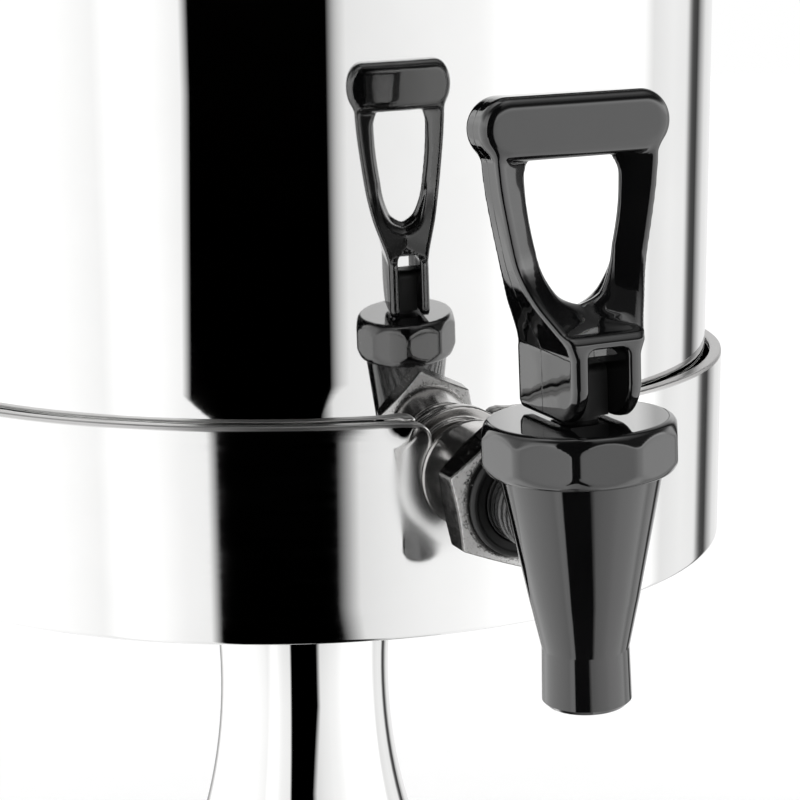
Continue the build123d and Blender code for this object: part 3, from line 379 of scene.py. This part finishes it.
slot_finish = {
    "polished_steel": can_steel,
    "plain_steel": sheet_steel,
    "cast_weight": iron,
    "black_plastic": tap_black,
    "black_rubber": rubber_black,
    "clear_silicone": milky_silicone,
}
own_finish = {
    "container": can_inside,
    "container_floor": can_inside,
    "support_band": band_steel,
    "outlet_fitting": fitting_steel,
    "lock_nut": nut_steel,
    "handle": handle_black,
    "tap_body": threaded_black,
    "stem": rubber_black,
}
for part in frame["record"]["subparts"]:
    node = nodes[part["node"]]
    node.data.materials.clear()
    node.data.materials.append(own_finish.get(part["node"], slot_finish[part["material_slot"]]))


# Outlines: lists of (across, high) points in millimetres

def line_between(first, second, count=12):
    """Points of a straight line, the last one left out."""
    shares = [i / count for i in range(count)]
    return [(first[0] + (second[0] - first[0]) * s, first[1] + (second[1] - first[1]) * s) for s in shares]


def bend(first, pull, push, last, count=14):
    """Cubic Bezier from first to last, its end point left out."""
    made = []
    for i in range(count):
        t = i / count
        weights = ((1 - t) ** 3, 3 * t * (1 - t) ** 2, 3 * t * t * (1 - t), t ** 3)
        made.append(tuple(sum(w * p for w, p in zip(weights, places))
                          for places in zip(first, pull, push, last)))
    return made


def arc(centre, radius, start, stop, count=10):
    """Points of an arc between two angles in degrees, the last one left out."""
    turns = [math.radians(start + (stop - start) * i / count) for i in range(count)]
    return [(centre[0] + radius * math.cos(t), centre[1] + radius * math.sin(t)) for t in turns]


def through(points, count=8):
    """Catmull-Rom curve through the points, the last one left out."""
    made = []
    spread = [points[0], *points, points[-1]]
    for before, first, last, after in zip(spread, spread[1:], spread[2:], spread[3:]):
        for i in range(count):
            t = i / count
            made.append(tuple(
                0.5 * (2 * b + (c - a) * t + (2 * a - 5 * b + 4 * c - d) * t * t
                       + (3 * b - a - 3 * c + d) * t ** 3)
                for a, b, c, d in zip(before, first, last, after)))
    return made


def both_sides(points):
    """Closed outline from its right half and the mirror image of it."""
    return points + [(-x, y) for x, y in reversed(points)]


# Moulded forms: a distance field on a grid, turned into a smooth skin

def outline_field(points, across, high):
    """Signed distance from a closed outline, below zero inside."""
    nearest = np.full(across.shape, 1e9)
    inside = np.zeros(across.shape, bool)
    for (x0, y0), (x1, y1) in zip(points, points[1:] + points[:1]):
        dx, dy = x1 - x0, y1 - y0
        share = np.clip(((across - x0) * dx + (high - y0) * dy) / (dx * dx + dy * dy + 1e-12), 0, 1)
        nearest = np.minimum(nearest, np.hypot(across - x0 - share * dx, high - y0 - share * dy))
        if y0 != y1:
            inside ^= ((y0 > high) != (y1 > high)) & (across < (x1 - x0) * (high - y0) / (y1 - y0) + x0)
    return np.where(inside, -nearest, nearest)


def slab(value, low, high):
    """Signed distance from a layer, below zero between its two faces."""
    return np.abs(value - (low + high) / 2) - (high - low) / 2


def meet(first, second, radius):
    """Where both fields are solid, with their common edge rounded."""
    reach = np.hypot(np.maximum(first + radius, 0), np.maximum(second + radius, 0))
    return np.minimum(-radius, np.maximum(first, second)) + reach


def join(first, second, radius):
    """Both fields together, with a fillet in the corner between them."""
    return -meet(-first, -second, radius)


def rise(value, length):
    """Share from 0 to 1 that grows with a value over a length."""
    return np.clip(value / length, 0, 1)


def even_lines(low, high, step):
    return [l + step * np.arange(int((h - l) / step) + 2) for l, h in zip(low, high)]


def crossed_cells(field):
    """Middle of the field's zero in each cell that it crosses, and the cells' numbers (-1 elsewhere)."""
    shape = tuple(count - 1 for count in field.shape)
    total = np.zeros((*shape, 3))
    crossings = np.zeros(shape)
    corner = np.indices(shape).transpose(1, 2, 3, 0)
    for axis in range(3):
        for offset in np.ndindex(2, 2, 2):
            if offset[axis]:
                continue
            further = [*offset]
            further[axis] = 1
            first = field[tuple(slice(o, o + n) for o, n in zip(offset, shape))]
            second = field[tuple(slice(o, o + n) for o, n in zip(further, shape))]
            cut = (first < 0) != (second < 0)
            share = np.where(cut, first / np.where(cut, first - second, 1), 0)
            place = (corner + np.array(offset)).astype(float)
            place[..., axis] += share
            total += place * cut[..., None]
            crossings += cut
    used = crossings > 0
    number = np.full(shape, -1)
    number[used] = np.arange(used.sum())
    return total[used] / crossings[used][:, None], number


def cell_faces(field, number):
    """Four-cornered faces between the cells round each grid line that the field crosses."""
    faces = []
    for axis in range(3):
        others = [(axis + 1) % 3, (axis + 2) % 3]
        room = np.array([number.shape[other] for other in others])
        solid = np.moveaxis(field, axis, 0) < 0
        first, second = (np.moveaxis(layers, 0, axis) for layers in (solid[:-1], solid[1:]))
        for found, order in ((first & ~second, (0, 1, 2, 3)), (~first & second, (3, 2, 1, 0))):
            at = np.argwhere(found)
            at = at[np.all((at[:, others] > 0) & (at[:, others] < room), axis=1)]
            ring = []
            for step in ((-1, -1), (0, -1), (0, 0), (-1, 0)):
                cell = at.copy()
                cell[:, others] += step
                ring.append(number[tuple(cell.T)])
            faces.append(np.stack([ring[i] for i in order], 1))
    return np.concatenate(faces)


class Grid:
    """Places of a box of cells: across, front and high in the piece's own millimetres."""

    def __init__(self, lines):
        self.lines = lines
        self.across, self.front, self.high = np.meshgrid(*lines, indexing="ij")

    def slopes_at(self, field, cells):
        """The field's slope at each cell's point, as an outward unit normal."""
        slopes = np.stack(np.gradient(field, *self.lines), -1)
        base = np.clip(cells.astype(int), 0, np.array(field.shape) - 2)
        part = cells - base
        normals = np.zeros_like(cells)
        for corner in np.ndindex(2, 2, 2):
            weight = np.prod(np.where(corner, part, 1 - part), axis=1)
            normals += slopes[tuple((base + corner).T)] * weight[:, None]
        return normals / (np.linalg.norm(normals, axis=1)[:, None] + 1e-12)

    def skin(self, field):
        """Surface net of the field's zero: points, four-cornered faces and outward normals."""
        cells, number = crossed_cells(field)
        points = np.stack([np.interp(cells[:, axis], np.arange(len(line)), line)
                           for axis, line in enumerate(self.lines)], 1)
        return points, cell_faces(field, number), self.slopes_at(field, cells)


def placed_by(to_frame):
    """Placing that takes a piece's own millimetres to the frame's metres."""
    turn = np.array(to_frame.to_3x3())
    shift = np.array(to_frame.translation)
    return lambda points, normals: (points @ turn.T + shift, normals @ turn.T)


def new_piece(name, mesh):
    piece = bpy.data.objects.new(name, mesh)
    scene.collection.objects.link(piece)
    return piece


def smooth_piece(name, points, faces, normals, look):
    """New piece with a normal of its own at each point."""
    mesh = bpy.data.meshes.new(name)
    mesh.from_pydata(points, [], faces)
    mesh.polygons.foreach_set("use_smooth", [True] * len(mesh.polygons))
    mesh.normals_split_custom_set_from_vertices(normals)
    mesh.materials.append(look)
    return new_piece(name, mesh)


def moulded(name, grid, field, place, look):
    """New piece from a field; place takes its points and normals to the frame.

    A piece's across, front and up are a mirror image of the frame's X, Y and Z, so its faces turn over.
    """
    points, faces, normals = grid.skin(field)
    placed, facing = place(points, normals)
    facing = facing / np.linalg.norm(facing, axis=1)[:, None]
    return smooth_piece(name, placed.tolist(), faces[:, ::-1].tolist(), facing.tolist(), look)


# The tap's own directions: across, front (towards -Y) and up its leaning axis, from the shank's axis
lean = math.radians(2.3)
tap_origin = Vector((0.0, -0.157, shank_height))
across_way = Vector((math.cos(lean), 0, math.sin(lean)))
front_way = Vector((0, -1, 0))
up_way = Vector((-math.sin(lean), 0, math.cos(lean)))
tap_axes = Matrix((across_way, front_way, up_way)).transposed().to_4x4()
tap_frame = Matrix.Translation(tap_origin) @ tap_axes @ Matrix.Scale(MM, 4)
bonnet_bottom, bonnet_top = 11.5, 21.0


# Handle: a rounded crossbar on two arms with a dished front, over a forked hub; up from the bonnet's top
foot, hub_top, hub_half, flare_from = 0.3, 15.3, 6.6, 12.7
hub_front, hub_back, back_shoulder = 12.3, 11.8, 11.9
arm_front, arm_back, arm_root, loop_top, loop_half = 3.5, 5.0, 30.3, 49.3, 15.8
front_lip, back_lip = hub_top + 1.2, back_shoulder + 1.5
handle_low, handle_high, handle_step = (-19.2, -13.0, -0.8), (19.2, 13.4, 58.0), 0.4


def arm_edge():
    """The right arm's outer edge, from the hub to the crossbar."""
    edge = [(hub_half, flare_from), (7.5, 15.2), (9.0, 18.2), (10.6, 21.4), (12.05, 25.5), (13.1, 29.6),
            (14.5, 37.1), (15.2, 42.0), (loop_half, loop_top)]
    return through(edge) + [edge[-1]]


def side_profile():
    """The handle from the side, as (front, high): cam foot, hollow front, arms and hollow back."""
    cam_radius, heel = 8.2, 1.4
    front_pull, front_push, back_pull, back_lean, back_push = 4.4, 6.0, 8.0, 1.2, 5.5
    front_pulls = (hub_front - front_pull, hub_top + front_pull), (arm_front, arm_root - front_push)
    back_pulls = (-arm_back, arm_root - back_pull), (-hub_back + back_lean, back_shoulder + back_push)
    return (
        arc((hub_front - cam_radius, foot + cam_radius), cam_radius, -90, 0)
        + bend((hub_front, hub_top), *front_pulls, (arm_front, arm_root))
        + [(arm_front, arm_root), (arm_front, loop_top), (-arm_back, loop_top)]
        + bend((-arm_back, arm_root), *back_pulls, (-hub_back, back_shoulder))
        + [(-hub_back, back_shoulder), (-hub_back, foot + heel), (heel - hub_back, foot)]
    )


def finger_opening():
    """The opening between the arms: a pointed bowl below, two round corners above."""
    bottom, top, half, corner = 20.9, 45.5, 8.95, 3.3
    right = through([(0, bottom), (3.4, 22.2), (5.4, 24.9), (6.9, 28.5), (8.0, 33.0), (8.7, 37.5),
                     (half, top - corner)])
    right += arc((half - corner, top - corner), corner, 0, 90)
    return both_sides(right + [(half - corner, top)])


def hollow_faces(across, high):
    """How far the front and the back dish in between the arms' ridges, above a steep lip on the hub."""
    dish_slope, back_slope, lip_slope, crease_reach = 0.6, 0.54, 1.8, 8
    below, above = 12.0, 20.0
    soft_from, soft_over, soft_top, soft_fall = 1.5, 2.0, 30.0, 6.0
    right = [(hub_half, foot - below)] + arm_edge() + [(loop_half, loop_top + above)]
    depth_in = np.maximum(-outline_field(both_sides(right), across, high), 0)
    spread = np.hanning(crease_reach * 2 + 1)
    spread /= spread.sum()
    soften = rise(depth_in - soft_from, soft_over) * rise(soft_top - high, soft_fall)
    soften = soften * rise(high - front_lip, soft_over)

    def eased(field):
        smooth = np.apply_along_axis(np.convolve, 0, field, spread, "same")
        smooth = np.apply_along_axis(np.convolve, 1, smooth, spread, "same")
        return field * (1 - soften) + smooth * soften

    dished = np.minimum(dish_slope * depth_in, lip_slope * np.maximum(high - front_lip, 0))
    back_dished = np.minimum(back_slope * depth_in, lip_slope * np.maximum(high - back_lip, 0))
    return eased(dished)[:, None, :], eased(back_dished)[:, None, :]


def handle_piece():
    bar_middle, bar_half, bar_radius, bar_half_depth, bar_back_set = 51.3, 18.0, 5.5, 4.6, 0.9
    slot_half, slot_roof, slot_corner = 3.75, 14.1, 1.4
    ridge_round, bar_round, slot_round, crease = 1.5, 2.3, 0.8, 0.9
    opening_round, opening_round_low = 0.5, 2.2
    opening_draft, draft_depth, web_front, bowl_front = 0.55, 2.6, -0.3, 1.8
    bowl_top, bowl_fall = 30.0, 8.0

    grid = Grid(even_lines(handle_low, handle_high, handle_step))
    across, high = grid.across[:, 0, :], grid.high[:, 0, :]
    outline = line_between((hub_half, foot), (hub_half, flare_from)) + arm_edge()
    outer = outline_field(both_sides(outline), across, high)
    profile = outline_field(side_profile(), grid.front[0], grid.high[0])

    def profile_at(front):
        place = (front - handle_low[1]) / handle_step
        row = np.clip(np.floor(place).astype(int), 0, profile.shape[0] - 2)
        share = np.clip(place - row, 0, 1)
        level = np.arange(profile.shape[1])[None, None, :]
        return profile[row, level] * (1 - share) + profile[row + 1, level] * share

    dish, back_dish = hollow_faces(across, high)
    shell = np.maximum(profile_at(grid.front + dish), profile_at(grid.front - back_dish))
    body = meet(outer[:, None, :], shell, ridge_round)

    lowness = rise(bowl_top - high, bowl_fall)[:, None, :]
    edge_round = opening_round + lowness * (opening_round_low - opening_round)
    behind = np.clip(web_front + lowness * (bowl_front - web_front) - grid.front, 0, draft_depth)
    opening = outline_field(finger_opening(), across, high)[:, None, :]
    body = meet(body, -(opening - opening_draft * behind), edge_round)

    beyond = np.abs(across) - slot_half + slot_corner, high - slot_roof + slot_corner
    slot_field = np.hypot(np.maximum(beyond[0], 0), np.maximum(beyond[1], 0)) - slot_corner
    body = meet(body, -slot_field[:, None, :], slot_round)

    ends = np.maximum(np.abs(grid.across) - (bar_half - bar_radius), 0)
    bar = meet(np.hypot(ends, grid.high - bar_middle) - bar_radius,
               np.abs(grid.front + bar_back_set) - bar_half_depth, bar_round)
    place = placed_by(tap_frame @ Matrix.Translation((0, 0, bonnet_top)))
    return moulded("tap_handle_grip", grid, join(body, bar, crease), place, handle_black)


grip = handle_piece()
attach(grip, "handle")
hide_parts("handle")


# Bonnet: ten flats whose corners are turned off, with a turned lip above and below

def bonnet_piece():
    sides, corner_radius, turn = 10, 18.07, 25.5
    flat_edge, disc_radius, cone, lip, facet_lip = 3.4, 16.55, 1.75, 0.7, 0.12
    half_box, margin, step = 18.6, 0.6, 0.3
    grid = Grid(even_lines((-half_box, -half_box, bonnet_bottom - margin),
                           (half_box, half_box, bonnet_top + margin), step))
    inset_radius = corner_radius - flat_edge / math.cos(math.pi / sides)
    turns = [math.radians(turn + 360 * i / sides) for i in range(sides)]
    corners = [(inset_radius * math.cos(t), -inset_radius * math.sin(t)) for t in turns]
    prism = outline_field(corners, grid.across[:, :, 0], grid.front[:, :, 0]) - flat_edge
    level = slab(grid.high, bonnet_bottom, bonnet_top)
    reach = np.hypot(grid.across, grid.front)
    slant = (cone * (reach - disc_radius) + level) / math.hypot(cone, 1)
    body = meet(prism[:, :, None], meet(slant, level, lip), facet_lip)
    return moulded("tap_bonnet_cap", grid, body, placed_by(tap_frame), tap_black)


cap = bonnet_piece()
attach(cap, "container")
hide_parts("bonnet")


# Pieces round the shank: their own axes are across, front along the shank and up, from the container's axis
shank_axes = Matrix(((1, 0, 0), (0, -1, 0), (0, 0, 1))).to_4x4()
shank_frame = Matrix.Translation((0, 0, shank_height)) @ shank_axes @ Matrix.Scale(MM, 4)


def shank_piece(name, shape, look, half_width, from_front, to_front, step):
    grid = Grid(even_lines((-half_width, from_front, -half_width), (half_width, to_front, half_width), step))
    return moulded(name, grid, shape(grid), placed_by(shank_frame), look)


def spun_field(points, grid):
    """Field of a profile of (front, reach) points turned round the shank's axis."""
    return outline_field(points, grid.front, np.hypot(grid.across, grid.high))


def nut_shape(grid):
    """A hexagon whose corners are turned off in front and behind."""
    across_flats, back, front, corner_turn = 25.7, 121.8, 131.1, 40.6
    edge, slope, bevel_from, patches, bore = 0.45, 0.5, 11.5, 0.25, 8.1
    corner = (across_flats / 2 - edge) / math.cos(math.pi / 6)
    turns = [math.radians(corner_turn + 60 * i) for i in range(6)]
    hexagon = [(corner * math.cos(t), corner * math.sin(t)) for t in turns]
    flats = outline_field(hexagon, grid.across[:, 0, :], grid.high[:, 0, :]) - edge
    reach = np.hypot(grid.across, grid.high)
    level = slab(grid.front, back, front)
    slant = (slope * (reach - bevel_from) + level) / math.hypot(slope, 1)
    body = meet(flats[:, None, :], meet(slant, level, patches), patches)
    return np.maximum(body, bore - reach)


def fitting_shape(grid):
    """A flange and a boss on the can, a neck, and a collar with a shoulder and a raised ring."""
    seat, flange, flange_reach, boss, boss_reach = 99.6, 12.5, 101.3, 10.0, 101.9
    neck, neck_end, shoulder, chamfer = 6.6, 105.7, 9.6, 1.1
    ring_at, ring_half, ring_rise, ring_root, ring_after = 108.3, 0.5, 0.3, 1.2, 1.3
    collar, front, collar_land, collar_edge, bore = 11.3, 121.7, 2.4, 0.6, 4.5
    ring_back, ring_front, ring_foot = ring_at - ring_half, ring_at + ring_half, shoulder + ring_root
    profile = [(seat, bore), (seat, flange), (flange_reach, flange), (flange_reach, boss),
               (boss_reach, boss), (boss_reach, neck), (neck_end, neck), (neck_end, shoulder),
               (neck_end + chamfer, shoulder + chamfer), (ring_back, ring_foot),
               (ring_back, ring_foot + ring_rise), (ring_front, ring_foot + ring_rise),
               (ring_front, shoulder + ring_after), (front - collar_land, collar),
               (front - collar_edge, collar), (front, collar - collar_edge), (front, bore)]
    return spun_field(profile, grid)


def washer_shape(grid):
    """A rubber ring with a blunt outer edge and a sunk middle."""
    back, front, radius, bore, dish, groove = 131.15, 133.3, 11.0, 8.1, 9.7, 0.45
    back_edge, slope_length, tip, tip_drop, front_drop = 0.5, 0.7, 0.15, 0.45, 0.9
    profile = [(back, bore), (back, radius - back_edge), (back + back_edge, radius),
               (front - slope_length, radius), (front - tip, radius - tip_drop),
               (front, radius - front_drop), (front - groove, dish), (front - groove, bore)]
    return spun_field(profile, grid)


nut = shank_piece("outlet_lock_nut", nut_shape, nut_steel,
                  half_width=15.2, from_front=121.2, to_front=131.7, step=0.3)
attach(nut, "container")
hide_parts("lock_nut")
fitting = shank_piece("outlet_collar", fitting_shape, fitting_steel,
                      half_width=13.2, from_front=99.0, to_front=122.3, step=0.35)
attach(fitting, "container")
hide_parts("outlet_fitting")
washer = shank_piece("outlet_washer", washer_shape, rubber_black,
                     half_width=11.6, from_front=130.7, to_front=133.9, step=0.22)
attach(washer, "container")
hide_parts("sealing_washer")


# Support band: a rolled rim, and a notch for the outlet whose edge is pressed outwards
band_radius, band_bottom, band_top = 104.0, 177.0, 222.0


def band_grid():
    """The band unrolled: finest near the notch, at the foot and from the notch to the rim."""
    near, fine, coarse = 22.0, 0.4, 3.6
    inward, outward, depth_step = -2.8, 2.5, 0.3
    margin, foot_zone, wall_from, wall_to, top_margin = 0.6, 2.0, 2.2, 196.0, 0.7
    foot_step, wall_step, notch_step = 0.3, 1.5, 0.35
    half_turn = math.pi * band_radius
    far_step = (half_turn - near) / (int((half_turn - near) / coarse) + 0.5)
    far = np.arange(near + far_step, half_turn + far_step * 0.6, far_step)
    around = np.concatenate([-far[::-1], np.arange(-near, near + fine / 2, fine), far])
    upright = np.concatenate([np.arange(band_bottom - margin, band_bottom + foot_zone, foot_step),
                              np.arange(band_bottom + wall_from, wall_to, wall_step),
                              np.arange(wall_to, band_top + top_margin, notch_step)])
    return Grid([around, np.arange(inward, outward, depth_step), upright])


def bent_round(points, normals):
    """Placing that bends the unrolled band round the container's axis."""
    angle = points[:, 0] / band_radius
    sine, cosine = np.sin(angle), np.cos(angle)
    reach = (band_radius + points[:, 1]) * MM
    placed = np.stack([reach * sine, -reach * cosine, points[:, 2] * MM], 1)
    facing = np.stack([normals[:, 0] * cosine + normals[:, 1] * sine,
                       normals[:, 0] * sine - normals[:, 1] * cosine, normals[:, 2]], 1)
    return placed, facing


def band_piece():
    wall, edge_round = 1.2, 0.3
    rim_depth, rim_height, rim_round = 2.9, 1.6, 0.5
    notch_half, notch_middle, mouth_round, notch_edge, above = 7.4, 208.8, 3.6, 0.5, 3.0
    flare, flare_reach = 1.5, 6.5
    grid = band_grid()

    shoulder, mouth_half = band_top - mouth_round, notch_half + mouth_round
    right = [(notch_half, notch_middle), (notch_half, shoulder)]
    right += arc((mouth_half, shoulder), mouth_round, 180, 90)
    right += [(mouth_half, band_top), (mouth_half, band_top + above)]
    notch = arc((0, notch_middle), notch_half, 180, 360, 24) + both_sides(right)
    gap = outline_field(notch, grid.across[:, 0, :], grid.high[:, 0, :])[:, None, :]

    out = grid.front - flare * np.clip(1 - gap / flare_reach, 0, 1) ** 2
    sheet = meet(slab(out, -wall, 0), slab(grid.high, band_bottom, band_top), edge_round)
    rim = meet(slab(out, -rim_depth, 0), slab(grid.high, band_top - rim_height, band_top), rim_round)
    body = meet(np.minimum(sheet, rim), -gap, notch_edge)
    return moulded("pressed_band", grid, body, bent_round, band_steel)


band = band_piece()
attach(band, "stand")
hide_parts("support_band")


# Container wall beside the tap: a skin over the wall whose normals turn as though the sheet lay a little
# flatter where the outlet is drawn tight

def face_turns(columns, middle, half_turn):
    """Turn of the normals at each column in degrees: flatter in the middle, eased out to both sides."""
    flat_half, ease, kernel_width = 8.5, 0.467, 9
    offset = columns - middle
    outer = -ease * flat_half * np.sign(offset) * (half_turn - np.abs(offset)) / (half_turn - flat_half)
    turned = np.where(np.abs(offset) < flat_half, -ease * offset, outer)
    kernel = np.hanning(kernel_width)
    margin = kernel_width // 2
    return np.convolve(np.pad(turned, margin), kernel / kernel.sum(), "same")[margin:-margin]


def flat_face_piece():
    radius, bottom, top, row_count = 100.02, 188.5, 373.0, 24
    middle, half_turn, column_step, fade_over, tip = -5.5, 12.5, 0.25, 3.5, -0.02
    columns = np.arange(middle - half_turn, middle + half_turn + column_step / 2, column_step)
    fade = rise(half_turn - np.abs(columns - middle), fade_over)
    fade = fade * fade * (3 - 2 * fade)
    points, normals, faces = [], [], []
    for row in np.linspace(bottom, top, row_count):
        for angle, shift, share in zip(columns, face_turns(columns, middle, half_turn), fade):
            turn, facing = math.radians(angle), math.radians(angle + shift)
            points.append((radius * MM * math.sin(turn), -radius * MM * math.cos(turn), row * MM))
            normals.append((math.sin(facing), -math.cos(facing), tip * share))
    count = len(columns)
    for j in range(row_count - 1):
        for i in range(count - 1):
            first = j * count + i
            faces.append((first, first + 1, first + count + 1, first + count))
    return smooth_piece("container_face", points, faces, normals, can_steel)


face = flat_face_piece()
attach(face, "container")


# Floor: pale paper that glows a little for the camera, so that it stays white

def floor_material():
    glow_strength = 0.06
    made = bpy.data.materials.new("paper")
    tree = empty_tree(made)
    paper = tree.nodes.new("ShaderNodeBsdfDiffuse")
    shade = mottled(tree, object_noise(tree, 40.0, detail=3.0), 0.985, 1.0)
    tree.links.new(shade, paper.inputs["Color"])
    glow = tree.nodes.new("ShaderNodeEmission")
    rays = tree.nodes.new("ShaderNodeLightPath")
    seen = maths(tree, "MAXIMUM", rays.outputs["Is Camera Ray"],
                 maths(tree, "MAXIMUM", rays.outputs["Is Glossy Ray"], rays.outputs["Is Transmission Ray"]))
    tree.links.new(maths(tree, "MULTIPLY", seen, glow_strength), glow.inputs["Strength"])
    both = tree.nodes.new("ShaderNodeAddShader")
    tree.links.new(paper.outputs["BSDF"], both.inputs[0])
    tree.links.new(glow.outputs["Emission"], both.inputs[1])
    show(tree, both.outputs["Shader"])
    return made


def floor_piece():
    radius, below = 8.0, 0.00005
    mesh = bpy.data.meshes.new("floor")
    disc = bmesh.new()
    bmesh.ops.create_circle(disc, cap_ends=True, segments=96, radius=radius)
    disc.to_mesh(mesh)
    disc.free()
    mesh.materials.append(floor_material())
    piece = new_piece("floor", mesh)
    piece.location = (0, 0, -below)
    piece.visible_glossy = False
    return piece


floor = floor_piece()


# The black flag beside the camera, which the steel and the gloss reflect as one dark stripe

def flag_material():
    """Black between two soft edges that step and lean with the height, clear outside them."""
    left_foot, left_top, right_foot, right_top = -0.264, -0.327, -0.041, -0.016
    step_from, step_to, right_from, right_to = 0.1518, 0.154, 0.1595, 0.1645
    spread_from, spread_to, low_spread = 0.02, 0.10, 0.052
    lean_top, lean_low, lean_high = 0.27, -0.009, 0.007
    soft_left, soft_right = 0.022, 0.032
    made = bpy.data.materials.new("flag_cloth")
    tree = empty_tree(made)
    across, high = object_axis(tree, "X"), object_axis(tree, "Z")
    left_edge = maths(tree, "ADD", span(tree, high, step_from, step_to, left_foot, left_top),
                      span(tree, high, step_to, lean_top, lean_low, lean_high))
    right_edge = maths(tree, "ADD", span(tree, high, right_from, right_to, right_foot, right_top),
                       span(tree, high, spread_from, spread_to, low_spread, 0.0))
    from_left = span(tree, maths(tree, "SUBTRACT", across, left_edge), 0.0, soft_left, 0.0, 1.0)
    from_right = span(tree, maths(tree, "SUBTRACT", right_edge, across), 0.0, soft_right, 0.0, 1.0)
    clear = tree.nodes.new("ShaderNodeBsdfTransparent")
    black = add(tree, "ShaderNodeEmission", Strength=0.0)
    mix = tree.nodes.new("ShaderNodeMixShader")
    tree.links.new(maths(tree, "MULTIPLY", from_left, from_right), mix.inputs["Fac"])
    tree.links.new(clear.outputs["BSDF"], mix.inputs[1])
    tree.links.new(black.outputs["Emission"], mix.inputs[2])
    show(tree, mix.outputs["Shader"])
    return made


def flag_piece():
    left, right = (-0.36, -0.329), (0.03, -0.382)
    low, high = -0.35, 0.75
    mesh = bpy.data.meshes.new("camera_flag")
    mesh.from_pydata([(*left, low), (*right, low), (*right, high), (*left, high)], [], [(0, 1, 2, 3)])
    mesh.update()
    mesh.materials.append(flag_material())
    piece = new_piece("camera_flag", mesh)
    piece.visible_camera = False
    piece.visible_diffuse = False
    piece.visible_shadow = False
    piece.visible_transmission = False
    return piece


flag = flag_piece()


# The studio: white for light and for the camera; reflections see a ring of white paper and black gaps

def by_compass(tree, turn, stops):
    """Grey by compass direction in degrees, where 0 is -Y and 90 is +X."""
    return ramp(tree, turn, [((angle + 180) / 360, value) for angle, value in stops])


def by_height(tree, height, stops):
    """Grey by elevation in degrees, from straight down to straight up."""
    return ramp(tree, height, [((angle + 90) / 180, value) for angle, value in stops])


def studio_pattern(tree):
    """The ring's brightness times the walls', which differ behind the object and beside its right side."""
    ring = [(-180, 0.32), (-164, 1.2), (-156, 1.5), (-142, 1.45), (-112, 1.3), (-81, 1.1), (-70, 1.0),
            (-64, 1.22), (-57, 1.16), (-48, 0.98), (-10, 0.74), (-4, 0.79), (3, 0.87), (13, 0.95),
            (20, 0.99), (27, 1.05), (37, 1.2), (66, 1.3), (82, 1.4), (91, 0.84), (102, 0.92),
            (112, 0.88), (114.5, 0.3), (117, 0.07), (121, 0.05), (125, 0.42), (131, 0.8), (140, 0.88),
            (152, 0.9), (165, 0.7), (180, 0.32)]
    low_walls = [(-90, 0.8), (-32, 0.9), (-18, 1.0), (2, 1.0)]
    plain_walls = low_walls + [(10, 1.25), (18, 1.2), (34, 0.9), (44, 0.3), (52, 0.05), (90, 0.05)]
    gap_walls = low_walls + [(8, 1.25), (15, 1.42), (24, 0.25), (30, 0.04), (41, 0.04), (48, 0.15),
                             (60, 0.32), (72, 0.65), (90, 0.75)]
    back_walls = low_walls + [(15, 1.1), (26, 0.5), (38, 0.3), (52, 0.4), (70, 0.7), (90, 0.75)]
    back_window = [(-180, 1), (-108, 1), (-90, 0), (158, 0), (180, 1)]
    gap_window = [(-180, 0), (-32, 0), (-18, 1), (70, 1), (110, 0.85), (150, 0.3), (180, 0)]
    direction = tree.nodes.new("ShaderNodeTexCoord")
    parts = tree.nodes.new("ShaderNodeSeparateXYZ")
    tree.links.new(direction.outputs["Generated"], parts.inputs["Vector"])
    backwards = maths(tree, "MULTIPLY", parts.outputs["Y"], -1.0)
    compass = maths(tree, "ARCTAN2", parts.outputs["X"], backwards)
    turn = span(tree, compass, -math.pi, math.pi, 0.0, 1.0)
    height = span(tree, maths(tree, "ARCSINE", parts.outputs["Z"]), -math.pi / 2, math.pi / 2, 0.0, 1.0)
    rear = blend(tree, by_compass(tree, turn, back_window),
                 by_height(tree, height, plain_walls), by_height(tree, height, back_walls))
    walls = blend(tree, by_compass(tree, turn, gap_window), rear, by_height(tree, height, gap_walls))
    return blend(tree, 1.0, by_compass(tree, turn, ring), walls, kind="MULTIPLY")


def studio_world():
    world = bpy.data.worlds.new("studio")
    tree = empty_tree(world)
    shown = add(tree, "ShaderNodeBackground", Color=(1, 1, 1, 1), Strength=1.0)
    mirrored = add(tree, "ShaderNodeBackground", Strength=1.0)
    tree.links.new(studio_pattern(tree), mirrored.inputs["Color"])
    rays = tree.nodes.new("ShaderNodeLightPath")
    mix = tree.nodes.new("ShaderNodeMixShader")
    tree.links.new(rays.outputs["Is Glossy Ray"], mix.inputs["Fac"])
    tree.links.new(shown.outputs["Background"], mix.inputs[1])
    tree.links.new(mirrored.outputs["Background"], mix.inputs[2])
    show(tree, mix.outputs["Shader"], kind="ShaderNodeOutputWorld")
    return world


scene.world = studio_world()
scene.view_settings.view_transform = "Standard"


# Camera, fitted to the photo

def photo_camera():
    lens, sensor, shift = 90, 36, -0.1
    nearest, farthest = 0.02, 60
    place, tilt, turn = (-0.1559, -0.4659, 0.3047), 78.67, -23.75
    data = bpy.data.cameras.new("camera")
    data.lens = lens
    data.sensor_width = sensor
    data.shift_x = shift
    data.clip_start = nearest
    data.clip_end = farthest
    piece = new_piece("camera", data)
    piece.location = place
    piece.rotation_euler = (math.radians(tilt), 0, math.radians(turn))
    return piece


scene.camera = photo_camera()
